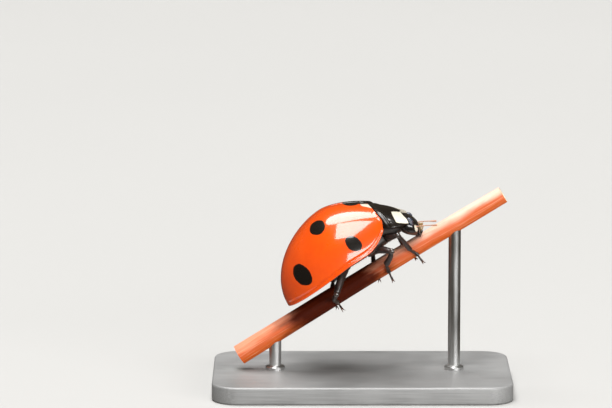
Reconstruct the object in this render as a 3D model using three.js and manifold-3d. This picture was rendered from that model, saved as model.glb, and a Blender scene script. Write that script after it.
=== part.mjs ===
// A seven-spot ladybird climbing a short cut stem, at life size, held by a small display stand.
// Millimetres, +Z up. The beetle heads towards +X and the origin is the middle of the base's underside.
//
// The beetle is drawn in a frame of its own: x runs from the tail to the mouth, y to the beetle's
// left and z from belly to back, with z = 0 at the lower edge of the wing cases at mid-length.
import * as THREE from "three";
import { mergeVertices } from "three/addons/utils/BufferGeometryUtils.js";
import Module from "manifold-3d";

const wasm = await Module();
wasm.setup();

// ---------------------------------------------------------------- driving dimensions

const GAP = 0.02; // clearance between neighbouring plates

const CLIMB = THREE.MathUtils.degToRad(31.4); // slope of the beetle's body
const TAIL = new THREE.Vector3(-3.6, 0, 4.2); // where the beetle's own frame starts

const ELYTRA = {
  wall: 0.5,
  halfWidth: 2.6,
  widestAt: 3.0, // distance from the tail
  frontReach: 3.6, // half-axis of the outline ahead of the widest place
  crown: 2.53, // highest level of the back
  crownAt: 3.5,
  crownFall: 0.237, // fall of the back ahead of its crown
  tailLevel: -0.45, // level of the lower edge at the tail
  shoulderFrom: 4.4, // from here the lower edge rises towards the shoulder
  shoulderRise: 0.32,
  frontEdge: 5.47, // distance of the front edge from the tail, beside the scutellum
  frontSlant: 0.36, // how far the front edge runs ahead on its way to the shoulder
  shoulderRound: 0.15, // and how much of that the rounded shoulder takes back
  shoulderFall: 0.1, // how far the surface bends inwards along the front edge at the shoulder
  fallReach: 0.42, // and how far behind the edge that starts
  notch: 0.3, // depth of the notch for the scutellum
  notchShare: 0.11, // half-width of that notch, as a share of the local half-width
};

const PRONOTUM = {
  wall: 0.5,
  rearEdge: 5.46,
  frontEdge: 6.6,
  cornerReach: 0.14, // how far the front corners stand ahead of the middle
  rearSlant: 0.21, // how far the rear edge runs ahead for each millimetre to the side
  slantTo: 1.45, // distance from the middle at which that ends
  halfWidth: 1.76,
  frontTaper: 0.26, // share of the width lost towards the front edge
  rearLevel: 1.65,
  backSlope: 0.63, // fall of the back just ahead of the rear edge
  backCurve: 0.24, // and how fast that fall grows
  sideLevel: 0.61, // of the side margin at its rear end
  sideSlope: 0.4, // fall of the side margin for each millimetre ahead
};

const SCUTELLUM = { halfWidth: 0.17, from: 5.2, length: 0.3, depth: 0.4, slope: 0.56 };

const HEAD = { centre: [6.55, 0, -0.1], radii: [0.46, 0.9, 0.6] };
const EYE = { centre: [6.75, 0.7, 0.05], radii: [0.18, 0.17, 0.26] };
const LABRUM = { centre: [6.82, 0, -0.62], radii: [0.14, 0.32, 0.24] };
const MANDIBLE = { centre: [6.76, 0.18, -0.8], radii: [0.13, 0.14, 0.12] };

const ANTENNA = {
  radius: 0.25,
  path: [
    [6.96, 0.56, -0.28],
    [7.32, 0.55, -0.48],
    [7.72, 0.53, -0.72],
  ],
};
const PALP = {
  radius: 0.2,
  path: [
    [6.78, 0.42, -0.7],
    [6.98, 0.38, -0.66],
    [7.08, 0.35, -0.46],
  ],
};

const TRUNK = {
  sides: 16,
  inset: ELYTRA.wall + 0.06, // from the outline of the wing cases
  headroom: 0.28, // extra space over the trunk's back
  backLevel: 1.4,
  flankLevel: 0.1,
  bellyRise: 0.17, // of the prothorax towards the head
  bellyTaper: 0.2, // of the abdomen towards the tail
  taperFrom: 1.5,
  abdomen: { from: 0.6, to: 3.29, stations: 7, belly: -0.3 },
  thorax: { from: 3.31, to: 5.42, stations: 5, belly: -0.3 },
  prothorax: { from: 5.44, to: 6.26, stations: 4, belly: -0.28, halfWidth: 1.06 },
};

const LIMB_TIP = 0.02; // radius of the very end of a limb
const LEG_RADIUS = { femur: 0.26, tibia: 0.25, tarsus: 0.25 };

// Each leg is listed from the hip over the thigh to the knee, then the ankle, the sole and the foot.
const LEGS = [
  {
    name: "leg_front_right",
    femur: [[5.34, -0.6, -0.04], [5.66, -1.3, 0.04], [6.06, -1.6, -0.03]],
    tibia: [[6.06, -1.6, -0.03], [6.1, -1.14, -0.58], [6.11, -0.68, -1.05]],
    tarsus: [[6.11, -0.68, -1.05], [6.25, -0.62, -1.4], [6.32, -0.54, -1.7]],
  },
  {
    name: "leg_middle_right",
    femur: [[4.5, -0.62, -0.27], [4.88, -1.24, -0.16], [5.47, -1.8, -0.5]],
    tibia: [[5.47, -1.8, -0.5], [5.16, -1.26, -0.82], [4.84, -0.74, -1.06]],
    tarsus: [[4.84, -0.74, -1.06], [4.76, -0.66, -1.4], [4.68, -0.56, -1.7]],
  },
  {
    name: "leg_hind_right",
    femur: [[3.2, -0.55, -0.3], [2.88, -1.15, -0.42], [2.28, -1.75, -0.9]],
    tibia: [[2.28, -1.75, -0.9], [2.1, -1.27, -1.08], [2.0, -0.76, -1.2]],
    tarsus: [[2.0, -0.76, -1.2], [2.02, -0.68, -1.5], [2.05, -0.56, -1.78]],
  },
  {
    name: "leg_front_left",
    femur: [[5.34, 0.6, -0.04], [5.56, 1.2, 0], [5.78, 1.62, -0.14]],
    tibia: [[5.78, 1.62, -0.14], [5.86, 1.14, -0.58], [5.88, 0.68, -0.96]],
    tarsus: [[5.88, 0.68, -0.96], [5.98, 0.64, -1.32], [6.06, 0.55, -1.66]],
  },
  {
    name: "leg_middle_left",
    femur: [[4.5, 0.62, -0.27], [4.46, 1.25, -0.28], [4.52, 1.85, -0.5]],
    tibia: [[4.52, 1.85, -0.5], [4.34, 1.28, -0.82], [4.22, 0.72, -1.08]],
    tarsus: [[4.22, 0.72, -1.08], [4.16, 0.66, -1.42], [4.1, 0.56, -1.7]],
  },
  {
    name: "leg_hind_left",
    femur: [[3.2, 0.55, -0.3], [2.74, 1.12, -0.46], [2.16, 1.7, -0.86]],
    tibia: [[2.16, 1.7, -0.86], [1.98, 1.24, -1.08], [1.86, 0.76, -1.22]],
    tarsus: [[1.86, 0.76, -1.22], [1.82, 0.68, -1.52], [1.78, 0.56, -1.78]],
  },
];

const STEM = {
  radiusLow: 0.48,
  radiusHigh: 0.41,
  sides: 14,
  steps: 10,
  path: [
    [-5.6, 0, 1.46],
    [0.42, 0, 5.26],
    [6.4, 0, 8.9],
  ],
};

const BASE = { length: 13.6, width: 8, height: 0.8, corner: 1.2, bevel: 0.1 };
const ROD = { radius: 0.28, sides: 14, sunk: 0.3 };
const RODS = { stand_rod_low: { x: -3.96, top: 2.4 }, stand_rod_high: { x: 4.22, top: 7.6 } };

// ---------------------------------------------------------------- materials

const material = (color, roughness, metalness = 0) =>
  new THREE.MeshStandardMaterial({ color, roughness, metalness });

const SHELL_RED = material(0xe8410e, 0.18);
const SHELL_BLACK = material(0x14100f, 0.22);
const UNDERSIDE = material(0x1a1413, 0.5);
const EYE_BLACK = material(0x10131c, 0.12);
const FEELER_BROWN = material(0x6e4a26, 0.45);
const STEM_PINK = material(0xd98a74, 0.6);
const STAND_STEEL = material(0x8c8f92, 0.35, 1);

// ---------------------------------------------------------------- geometry helpers

// A closed surface from points and triangles, turned so that its faces look outwards.
function closedGeometry(points, triangles) {
  let volume = 0;
  for (const [a, b, c] of triangles) {
    volume += points[a].dot(points[b].clone().cross(points[c]));
  }
  const facing = volume < 0 ? triangles.map(([a, b, c]) => [a, c, b]) : triangles;
  return new THREE.BufferGeometry().setFromPoints(points).setIndex(facing.flat());
}

// The two triangles of each square of a grid whose rows lie one after another.
function gridTriangles(rows, columns, start = 0) {
  const triangles = [];
  for (let i = 0; i + 1 < rows; i++) {
    for (let j = 0; j + 1 < columns; j++) {
      const a = start + i * columns + j;
      triangles.push([a, a + 1, a + columns]);
      triangles.push([a + 1, a + columns + 1, a + columns]);
    }
  }
  return triangles;
}

// The grid moved inwards, square to the surface, by the depth given for each row and column.
function inset(grid, depthAt) {
  const rows = grid.length - 1;
  const columns = grid[0].length - 1;
  return grid.map((row, i) =>
    row.map((point, j) => {
      const along = grid[Math.min(i + 1, rows)][j].clone().sub(grid[Math.max(i - 1, 0)][j]);
      const across = row[Math.min(j + 1, columns)].clone().sub(row[Math.max(j - 1, 0)]);
      const normal = along.cross(across).normalize();
      return point.clone().addScaledVector(normal, -depthAt(i, j));
    }),
  );
}

// A closed plate between an outer grid of points and an inner one of the same size.
function plate(outer, inner) {
  const rows = outer.length;
  const columns = outer[0].length;
  const count = rows * columns;
  const triangles = gridTriangles(rows, columns);
  for (const [a, b, c] of gridTriangles(rows, columns, count)) {
    triangles.push([a, c, b]);
  }
  const rim = [];
  for (let j = 0; j < columns - 1; j++) rim.push(j);
  for (let i = 0; i < rows - 1; i++) rim.push(i * columns + columns - 1);
  for (let j = columns - 1; j > 0; j--) rim.push((rows - 1) * columns + j);
  for (let i = rows - 1; i > 0; i--) rim.push(i * columns);
  rim.forEach((a, k) => {
    const b = rim[(k + 1) % rim.length];
    triangles.push([a, a + count, b]);
    triangles.push([b, a + count, b + count]);
  });
  return closedGeometry([...outer.flat(), ...inner.flat()], triangles);
}

// A closed body through rings of points, each end closed by a fan.
function loft(rings) {
  const sides = rings[0].length;
  const triangles = [];
  for (let i = 0; i + 1 < rings.length; i++) {
    for (let j = 0; j < sides; j++) {
      const a = i * sides + j;
      const b = i * sides + ((j + 1) % sides);
      triangles.push([a, b, a + sides]);
      triangles.push([b, b + sides, a + sides]);
    }
  }
  const last = (rings.length - 1) * sides;
  for (let j = 1; j + 1 < sides; j++) {
    triangles.push([0, j + 1, j]);
    triangles.push([last, last + j, last + j + 1]);
  }
  return closedGeometry(rings.flat(), triangles);
}

// A round tube along a curve; radiusAt gives the radius at each share of the length.
function tube(curve, radiusAt, sides, steps) {
  const frames = curve.computeFrenetFrames(steps, false);
  const rings = [];
  for (let i = 0; i <= steps; i++) {
    const share = i / steps;
    const centre = curve.getPointAt(share);
    const ring = [];
    for (let j = 0; j < sides; j++) {
      const angle = (2 * Math.PI * j) / sides;
      const offset = frames.normals[i].clone().multiplyScalar(Math.cos(angle));
      offset.addScaledVector(frames.binormals[i], Math.sin(angle));
      ring.push(centre.clone().addScaledVector(offset, radiusAt(share)));
    }
    rings.push(ring);
  }
  return loft(rings);
}

const curveThrough = (points) =>
  new THREE.CatmullRomCurve3(points.map((p) => new THREE.Vector3(...p)));

// A limb along a list of points, its ends rounded off down to a small tip.
function limb(points, radius, sides = 8, steps = 7) {
  const fromMiddle = (share) => Math.abs(2 * share - 1);
  const roundEnds = (share) => radius * (1 - fromMiddle(share) ** 6) ** 0.3 + LIMB_TIP;
  return tube(curveThrough(points), roundEnds, sides, steps);
}

function ellipsoid({ centre, radii }, sideways = 1, widthSegments = 16, heightSegments = 9) {
  const sphere = new THREE.SphereGeometry(1, widthSegments, heightSegments);
  return sphere.scale(...radii).translate(centre[0], sideways * centre[1], centre[2]);
}

const mirrored = (points, side) => points.map(([x, y, z]) => [x, side * y, z]);

// ---------------------------------------------------------------- joining and cutting

function solidOf(geometry) {
  const bare = geometry.clone();
  bare.deleteAttribute("normal");
  bare.deleteAttribute("uv");
  const merged = mergeVertices(bare, 1e-4);
  const mesh = new wasm.Mesh({
    numProp: 3,
    vertProperties: merged.attributes.position.array,
    triVerts: new Uint32Array(merged.index.array),
  });
  return new wasm.Manifold(mesh);
}

function geometryOf(solid) {
  const { vertProperties, triVerts } = solid.getMesh();
  const geometry = new THREE.BufferGeometry();
  geometry.setAttribute("position", new THREE.BufferAttribute(vertProperties, 3));
  return geometry.setIndex(new THREE.BufferAttribute(triVerts, 1));
}

// The solid with its surface moved out by the clearance, which a neighbour is cut with.
const swollenSolids = new Map();
function swollen(geometry) {
  if (!swollenSolids.has(geometry)) {
    const grown = geometry.clone();
    grown.deleteAttribute("uv");
    grown.deleteAttribute("normal");
    const merged = mergeVertices(grown, 1e-4);
    merged.computeVertexNormals();
    const { position, normal } = merged.attributes;
    position.array.forEach((value, i) => (position.array[i] = value + GAP * normal.array[i]));
    swollenSolids.set(geometry, solidOf(merged));
  }
  return swollenSolids.get(geometry);
}

// The geometry less its neighbours, as the largest single body that is left.
function fitted(geometry, neighbours) {
  let solid = solidOf(geometry);
  for (const neighbour of neighbours) {
    solid = solid.subtract(swollen(neighbour));
  }
  const bodies = solid.decompose();
  const largest = bodies.reduce((a, b) => (a.volume() > b.volume() ? a : b));
  return geometryOf(largest);
}

// ---------------------------------------------------------------- wing cases

// Half of the outline's width at a distance from the tail, or of a smaller outline that far inside it.
function shellHalfWidth(x, inside = 0) {
  const reach = (x < ELYTRA.widestAt ? ELYTRA.widestAt : ELYTRA.frontReach) - inside;
  const share = (x - ELYTRA.widestAt) / reach;
  return (ELYTRA.halfWidth - inside) * Math.sqrt(Math.max(0, 1 - share ** 2));
}

// Level of the lower edge.
function shellEdgeLevel(x) {
  const drop = ELYTRA.tailLevel * Math.max(0, 1 - x / ELYTRA.crownAt) ** 1.1;
  return drop + ELYTRA.shoulderRise * Math.max(0, x - ELYTRA.shoulderFrom) ** 2;
}

// Level of the back along the middle, or of a lower back that far inside it.
function shellBackLevel(x, inside = 0) {
  const { crownAt, tailLevel } = ELYTRA;
  const crown = ELYTRA.crown - inside;
  if (x > crownAt) return crown - ELYTRA.crownFall * (x - crownAt) ** 1.7;
  const share = Math.min(1, (crownAt - x) / (crownAt - inside));
  return tailLevel + (crown - tailLevel) * Math.sqrt(1 - share ** 1.75);
}

// Distance of the front edge from the tail, for a share of the way from the seam to the margin.
function shellFrontEdge(share) {
  const notch = ELYTRA.notch * Math.max(0, 1 - share / ELYTRA.notchShare);
  const shoulder = ELYTRA.shoulderRound * share ** 60;
  return ELYTRA.frontEdge + ELYTRA.frontSlant * share - shoulder - notch;
}

// A point of the outer surface of the left wing case: along from tail to front, across from seam to margin.
function shellPoint(along, across) {
  const share = Math.sin((across * Math.PI) / 2);
  const x = shellFrontEdge(share) * (1 - Math.cos((along * Math.PI) / 2));
  const rise = Math.sqrt(Math.max(0, 1 - share ** 2.1));
  const edge = shellEdgeLevel(x);
  return new THREE.Vector3(
    x,
    GAP / 2 + (shellHalfWidth(x) - GAP / 2) * share,
    edge + (shellBackLevel(x) - edge) * rise,
  );
}

// How far the surface is bent inwards near the front edge at the shoulder.
function shellFall(x, share) {
  const behind = (shellFrontEdge(share) - x) / ELYTRA.fallReach;
  return ELYTRA.shoulderFall * THREE.MathUtils.smoothstep(share, 0.3, 0.75) * Math.exp(-(behind ** 2));
}

function elytronGeometry(side) {
  const rows = 19;
  const columns = 12;
  const tailShare = 0.07; // the grid starts just ahead of the tail, where its rows would shrink to a point
  const dome = [];
  for (let i = 0; i < rows; i++) {
    const along = tailShare + ((1 - tailShare) * i) / (rows - 1);
    const row = [];
    for (let j = 0; j < columns; j++) row.push(shellPoint(along, j / (columns - 1)));
    dome.push(row);
  }
  const shareAt = (j) => Math.sin(((j / (columns - 1)) * Math.PI) / 2);
  const outer = inset(dome, (i, j) => shellFall(dome[i][j].x, shareAt(j)));
  const inner = inset(outer, () => ELYTRA.wall);
  inner.flat().forEach((point) => (point.y = Math.max(point.y, GAP / 2)));
  const turned = (grid) => grid.map((row) => row.map((p) => new THREE.Vector3(p.x, side * p.y, p.z)));
  return plate(turned(outer), turned(inner));
}

// ---------------------------------------------------------------- pronotum and scutellum

// Level of the pronotum's back along the middle.
function pronotumBackLevel(x) {
  const ahead = x - PRONOTUM.rearEdge;
  return PRONOTUM.rearLevel - PRONOTUM.backSlope * ahead - PRONOTUM.backCurve * ahead ** 2;
}

// A point of the pronotum: along from its rear edge to its front edge, across from right to left.
function pronotumPoint(along, across) {
  const narrowing = 1 - PRONOTUM.frontTaper * along ** 2.4 - 0.02 * (1 - along);
  const y = PRONOTUM.halfWidth * narrowing * across;
  const out = Math.abs(y);
  const rear = PRONOTUM.rearEdge + PRONOTUM.rearSlant * Math.min(out, PRONOTUM.slantTo);
  const front = PRONOTUM.frontEdge + PRONOTUM.cornerReach * Math.min(out / 1.1, 1) ** 2;
  const x = rear + (front - rear) * along;
  const side = PRONOTUM.sideLevel - PRONOTUM.sideSlope * (x - PRONOTUM.rearEdge);
  const rise = Math.sqrt(1 - across ** 2);
  return new THREE.Vector3(x, y, side + (pronotumBackLevel(x) - side) * rise);
}

function pronotumGeometry() {
  const rows = 8;
  const columns = 15;
  const outer = [];
  for (let i = 0; i < rows; i++) {
    const row = [];
    for (let j = 0; j < columns; j++) {
      row.push(pronotumPoint(i / (rows - 1), Math.sin((j / (columns - 1) - 0.5) * Math.PI)));
    }
    outer.push(row);
  }
  return plate(outer, inset(outer, () => PRONOTUM.wall));
}

// A wedge in the notch of the wing cases, its top flush with their back.
function scutellumGeometry() {
  const { halfWidth, from, length, depth, slope } = SCUTELLUM;
  const outline = new THREE.Shape();
  outline.moveTo(0, 0);
  outline.lineTo(length, -halfWidth);
  outline.lineTo(length, halfWidth);
  outline.closePath();
  const wedge = new THREE.ExtrudeGeometry(outline, { depth, bevelEnabled: false });
  return wedge.translate(0, 0, -depth).rotateY(slope).translate(from, 0, shellBackLevel(from) - GAP);
}

// ---------------------------------------------------------------- trunk

// A length of trunk: its flanks lie at the lower edge of the wing cases, its back under their crown.
function trunkGeometry({ from, to, stations, belly, halfWidth }) {
  const rings = [];
  for (let i = 0; i < stations; i++) {
    const x = from + ((to - from) * i) / (stations - 1);
    const wide = halfWidth ?? shellHalfWidth(x, TRUNK.inset);
    const cover = halfWidth ? pronotumBackLevel(x) - TRUNK.inset : shellBackLevel(x, TRUNK.inset);
    const back = Math.min(TRUNK.backLevel, cover - TRUNK.headroom);
    const flank = TRUNK.flankLevel + Math.min(0, shellEdgeLevel(x));
    const neckRise = TRUNK.bellyRise * Math.max(0, x - TRUNK.thorax.to);
    const tailFall = TRUNK.bellyTaper * Math.max(0, TRUNK.taperFrom - x);
    const lowest = belly + neckRise - tailFall;
    const ring = [];
    for (let j = 0; j < TRUNK.sides; j++) {
      const angle = (2 * Math.PI * j) / TRUNK.sides;
      const height = Math.sin(angle) > 0 ? back - flank : flank - lowest;
      ring.push(new THREE.Vector3(x, wide * Math.cos(angle), flank + height * Math.sin(angle)));
    }
    rings.push(ring);
  }
  return loft(rings);
}

// ---------------------------------------------------------------- stem and stand

function stemGeometry() {
  const radiusAt = (share) => STEM.radiusLow + (STEM.radiusHigh - STEM.radiusLow) * share;
  return tube(curveThrough(STEM.path), radiusAt, STEM.sides, STEM.steps);
}

function baseGeometry() {
  const { length, width, height, corner, bevel } = BASE;
  const x = length / 2 - bevel;
  const y = width / 2 - bevel;
  const outline = new THREE.Shape();
  outline.moveTo(-x + corner, -y);
  outline.lineTo(x - corner, -y);
  outline.absarc(x - corner, -y + corner, corner, -Math.PI / 2, 0);
  outline.lineTo(x, y - corner);
  outline.absarc(x - corner, y - corner, corner, 0, Math.PI / 2);
  outline.lineTo(-x + corner, y);
  outline.absarc(-x + corner, y - corner, corner, Math.PI / 2, Math.PI);
  outline.lineTo(-x, -y + corner);
  outline.absarc(-x + corner, -y + corner, corner, Math.PI, 1.5 * Math.PI);
  const slab = new THREE.ExtrudeGeometry(outline, {
    depth: height - 2 * bevel,
    bevelSize: bevel,
    bevelThickness: bevel,
    bevelSegments: 1,
    curveSegments: 4,
  });
  return slab.translate(0, 0, bevel);
}

// A rod from inside the base to the stem, which its top end is cut to.
function rodGeometry({ x, top }) {
  const foot = BASE.height - ROD.sunk;
  const rod = new THREE.CylinderGeometry(ROD.radius, ROD.radius, top - foot, ROD.sides);
  return rod.rotateX(Math.PI / 2).translate(x, 0, (top + foot) / 2);
}

// ---------------------------------------------------------------- assembly

const model = new THREE.Group();
const beetle = new THREE.Group();
beetle.position.copy(TAIL);
beetle.rotation.y = -CLIMB;
model.add(beetle);
model.updateMatrixWorld(true);

function addPiece(parent, name, geometry, finish) {
  const piece = new THREE.Mesh(geometry, finish);
  piece.name = name;
  parent.add(piece);
  return geometry;
}

const SIDES = { left: 1, right: -1 };

// Stem and stand.
const stem = addPiece(model, "perch_stem", stemGeometry(), STEM_PINK);
const rods = Object.entries(RODS).map(([name, rod]) =>
  addPiece(model, name, fitted(rodGeometry(rod), [stem]), STAND_STEEL),
);
addPiece(model, "stand_base", fitted(baseGeometry(), rods), STAND_STEEL);
const stemFromBody = stem.clone().applyMatrix4(beetle.matrixWorld.clone().invert());

// Wing cases, pronotum and scutellum.
const shells = Object.entries(SIDES).map(([side, sign]) =>
  addPiece(beetle, "elytron_" + side, elytronGeometry(sign), SHELL_RED),
);
const pronotum = addPiece(beetle, "pronotum", fitted(pronotumGeometry(), shells), SHELL_BLACK);
const upper = [...shells, pronotum];
addPiece(beetle, "scutellum", fitted(scutellumGeometry(), upper), SHELL_BLACK);

// Head with eyes and mouthparts.
const eyes = Object.entries(SIDES).map(([side, sign]) =>
  addPiece(beetle, "eye_" + side, fitted(ellipsoid(EYE, sign, 10, 7), [pronotum]), EYE_BLACK),
);
const beside = [pronotum, stemFromBody];
const head = addPiece(beetle, "head", fitted(ellipsoid(HEAD), [...beside, ...eyes]), SHELL_BLACK);
const labrum = addPiece(
  beetle,
  "labrum",
  fitted(ellipsoid(LABRUM, 1, 10, 7), [head, stemFromBody]),
  SHELL_BLACK,
);
const face = [...beside, head, ...eyes, labrum];
for (const [side, sign] of Object.entries(SIDES)) {
  const mandible = fitted(ellipsoid(MANDIBLE, sign, 8, 6), face);
  const palp = fitted(limb(mirrored(PALP.path, sign), PALP.radius, 7, 5), [...face, mandible]);
  const antenna = fitted(limb(mirrored(ANTENNA.path, sign), ANTENNA.radius, 7, 6), [...face, palp]);
  addPiece(beetle, "mandible_" + side, mandible, FEELER_BROWN);
  addPiece(beetle, "palp_" + side, palp, FEELER_BROWN);
  addPiece(beetle, "antenna_" + side, antenna, FEELER_BROWN);
}

// Trunk.
const thorax = addPiece(beetle, "thorax", trunkGeometry(TRUNK.thorax), UNDERSIDE);
const abdomen = addPiece(beetle, "abdomen", trunkGeometry(TRUNK.abdomen), UNDERSIDE);
const prothorax = addPiece(
  beetle,
  "prothorax",
  fitted(trunkGeometry(TRUNK.prothorax), [head]),
  UNDERSIDE,
);

// Legs, each segment cut to the one before it.
const trunk = [thorax, abdomen, prothorax, ...upper, head, stemFromBody];
for (const leg of LEGS) {
  let before = [];
  for (const [segment, radius] of Object.entries(LEG_RADIUS)) {
    const piece = fitted(limb(leg[segment], radius), [...trunk, ...before]);
    addPiece(beetle, leg.name + "_" + segment, piece, SHELL_BLACK);
    before = [...before, piece];
  }
}

export default model;
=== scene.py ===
"""The finished surfaces of a seven-spot ladybird that climbs a cut stem on a display stand.

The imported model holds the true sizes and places. Here each part gets its own surface: thin glossy
wing cases, a bordered neck shield, faceted eyes, beaded feelers, jointed legs with claws and fine
bristles, a ridged stem and a brushed stand.

Lengths are millimetres. The beetle is drawn in a frame of its own: x runs from the tail to the
mouth, y to the beetle's left and z from belly to back.
"""

import logging
import math
from collections.abc import Callable, Iterable, Sequence
from dataclasses import dataclass, field, fields
from enum import Enum

import bmesh
import bpy
import numpy as np
from bpy.types import Material, Mesh, Node, NodeSocket as Socket, NodeTree, Object
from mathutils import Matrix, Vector


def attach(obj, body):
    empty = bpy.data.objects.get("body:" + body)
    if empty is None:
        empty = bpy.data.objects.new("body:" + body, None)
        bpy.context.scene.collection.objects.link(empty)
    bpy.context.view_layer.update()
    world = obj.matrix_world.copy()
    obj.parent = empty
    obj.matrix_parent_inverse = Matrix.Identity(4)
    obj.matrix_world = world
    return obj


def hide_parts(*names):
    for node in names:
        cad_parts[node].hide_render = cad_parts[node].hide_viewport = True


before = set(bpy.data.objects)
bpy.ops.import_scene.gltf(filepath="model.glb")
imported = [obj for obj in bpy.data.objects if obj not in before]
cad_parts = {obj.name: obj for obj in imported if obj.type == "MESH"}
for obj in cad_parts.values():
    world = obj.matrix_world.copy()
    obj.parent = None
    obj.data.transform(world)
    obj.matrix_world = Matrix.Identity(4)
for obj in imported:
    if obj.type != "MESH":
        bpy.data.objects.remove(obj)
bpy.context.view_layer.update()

LOG = logging.getLogger("ladybird")
METRES = 0.001  # one millimetre in scene units
TINY = 1e-12  # keeps a division from failing
SPAN_STEPS = 60  # points on each span of a curve

Grid = np.ndarray
Colour = tuple[float, float, float]
Point = tuple[float, float, float]


class Side(Enum):
    """A side of the beetle, with the sign of y there."""

    LEFT = 1
    RIGHT = -1

    @property
    def word(self) -> str:
        """The side's name as the nodes spell it."""
        return self.name.lower()

    @property
    def mirror(self) -> Grid:
        """Factors that turn points of the left side into points of this side."""
        return np.array([1, self.value, 1])


class Slot(Enum):
    """The record's material slots."""

    SHELL_RED = "shell_red"
    SHELL_BLACK = "shell_black"
    UNDERSIDE = "underside"
    EYE = "eye"
    FEELER = "feeler"
    STEM = "stem"
    STAND = "stand"


@dataclass(frozen=True)
class BodyFrame:
    """The beetle's own frame inside the row frame."""

    slope: float = math.radians(31.4)  # climb of the body above the horizon
    tail: Point = (-3.6, 0.0, 4.2)  # where the frame starts, in row millimetres

    def to_row(self, points: Grid) -> Grid:
        """Turns body points into row points.

        Args:
            points: Points in body millimetres.

        Returns:
            The points in row millimetres.
        """
        x, y, z = np.moveaxis(np.asarray(points, float), -1, 0)
        ahead = self.tail[0] + x * math.cos(self.slope) - z * math.sin(self.slope)
        up = self.tail[2] + x * math.sin(self.slope) + z * math.cos(self.slope)
        return np.stack([ahead, y + self.tail[1], up], -1)

    def from_row(self, points: Grid) -> Grid:
        """Turns row points into body points.

        Args:
            points: Points in row millimetres.

        Returns:
            The points in body millimetres.
        """
        x, y, z = np.moveaxis(np.asarray(points, float) - np.array(self.tail), -1, 0)
        along = x * math.cos(self.slope) + z * math.sin(self.slope)
        above = z * math.cos(self.slope) - x * math.sin(self.slope)
        return np.stack([along, y, above], -1)

    @property
    def shift(self) -> Point:
        """The row origin in body millimetres, which a Mapping node adds after turning."""
        return tuple(float(v) for v in self.from_row(np.zeros(3)))


BODY = BodyFrame()


def as_it_is(points: Grid) -> Grid:
    """Leaves points that are row millimetres already as they are."""
    return points


# ---- small mathematics


def bell(value: Grid, centre: float, width: float) -> Grid:
    """A smooth hump of height one round a centre."""
    return np.exp(-(((value - centre) / width) ** 2))


@dataclass(frozen=True)
class Ridge:
    """A raised line on a surface, or a groove where its height is negative."""

    height: float  # how far it rises, in millimetres
    centre: float  # the place of its middle
    width: float  # how fast it fades to both sides

    def over(self, value: Grid) -> Grid:
        """Its height at each place."""
        return self.height * bell(value, self.centre, self.width)


def full_turn(sides: int) -> Grid:
    """Angles spread evenly over a full turn."""
    return np.linspace(0, 2 * math.pi, sides, endpoint=False)


def smooth(value: Grid, low: float, high: float) -> Grid:
    """Rises from zero to one between two values."""
    share = np.clip((value - low) / (high - low), 0, 1)
    return share * share * (3 - 2 * share)


def nearer(first: Grid, second: Grid, blend: float) -> Grid:
    """The smaller of two distances, with a soft change from one to the other."""
    return -blend * np.log(np.exp(-first / blend) + np.exp(-second / blend))


def rounding(distance: Grid, depth: float, reach: float) -> Grid:
    """How deep a rounded edge falls at a distance from it."""
    return depth * np.clip(1 - distance / reach, 0, 1) ** 2


def unit(vectors: Grid) -> Grid:
    """The vectors at length one."""
    return vectors / np.maximum(np.linalg.norm(vectors, axis=-1, keepdims=True), TINY)


def grid_normals(grid: Grid) -> Grid:
    """Normals of a grid of points, by the cross product of its two directions."""
    return unit(np.cross(np.gradient(grid, axis=0), np.gradient(grid, axis=1)))


def walked(grid: Grid, axis: int, from_end: bool) -> Grid:
    """Distance walked over a grid from one of its edges.

    Args:
        grid: Rows and columns of points.
        axis: 0 to walk along the columns, 1 along the rows.
        from_end: True to start at the last row or column.

    Returns:
        One distance for each point.
    """
    steps = np.linalg.norm(np.diff(grid, axis=axis), axis=-1)
    if from_end:
        steps = np.flip(steps, axis)
    distance = np.insert(np.cumsum(steps, axis=axis), 0, 0.0, axis=axis)
    return np.flip(distance, axis) if from_end else distance


def curve_through(points: Sequence[Point], shares: Grid) -> Grid:
    """A centripetal curve through points, sampled along its length.

    Args:
        points: The points that it passes through.
        shares: Shares of its length.

    Returns:
        A point for each share.
    """
    knots = np.asarray(points, float)
    knots = np.vstack([2 * knots[0] - knots[1], knots, 2 * knots[-1] - knots[-2]])
    t = np.linspace(0, 1, SPAN_STEPS)[:, None]
    dense = []
    for p0, p1, p2, p3 in zip(knots, knots[1:], knots[2:], knots[3:]):
        d0, d1, d2 = (math.sqrt(np.linalg.norm(b - a)) for a, b in ((p0, p1), (p1, p2), (p2, p3)))
        m1 = d1 * ((p1 - p0) / d0 - (p2 - p0) / (d0 + d1) + (p2 - p1) / d1)
        m2 = d1 * ((p2 - p1) / d1 - (p3 - p1) / (d1 + d2) + (p3 - p2) / d2)
        bend = 2 * p1 - 2 * p2 + m1 + m2
        dense.append(p1 + m1 * t + (3 * (p2 - p1) - 2 * m1 - m2) * t**2 + bend * t**3)
    line = np.concatenate(dense)
    length = np.insert(np.cumsum(np.linalg.norm(np.diff(line, axis=0), axis=1)), 0, 0)
    at = np.asarray(shares) * length[-1]
    return np.stack([np.interp(at, length, line[:, k]) for k in range(3)], -1)


def resampled(line: Grid, shares: Grid) -> Grid:
    """The points at shares of the way through a row of points."""
    at = shares * (len(line) - 1)
    return np.stack([np.interp(at, np.arange(len(line)), line[:, k]) for k in range(3)], -1)


def close_ended(count: int) -> Grid:
    """Shares from zero to one that crowd towards both ends."""
    return (1 - np.cos(np.linspace(0, math.pi, count))) / 2


def graded(stops: Sequence[float], counts: Sequence[int]) -> Grid:
    """Shares spaced evenly between stops.

    Args:
        stops: The first share, those where the spacing changes, and the last share.
        counts: Shares from each stop to the next, with the last stop counted too.

    Returns:
        The shares.
    """
    spans = list(zip(stops, stops[1:], counts))
    parts = [np.linspace(start, stop, count, endpoint=False) for start, stop, count in spans[:-1]]
    return np.concatenate([*parts, np.linspace(*spans[-1])])


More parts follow.
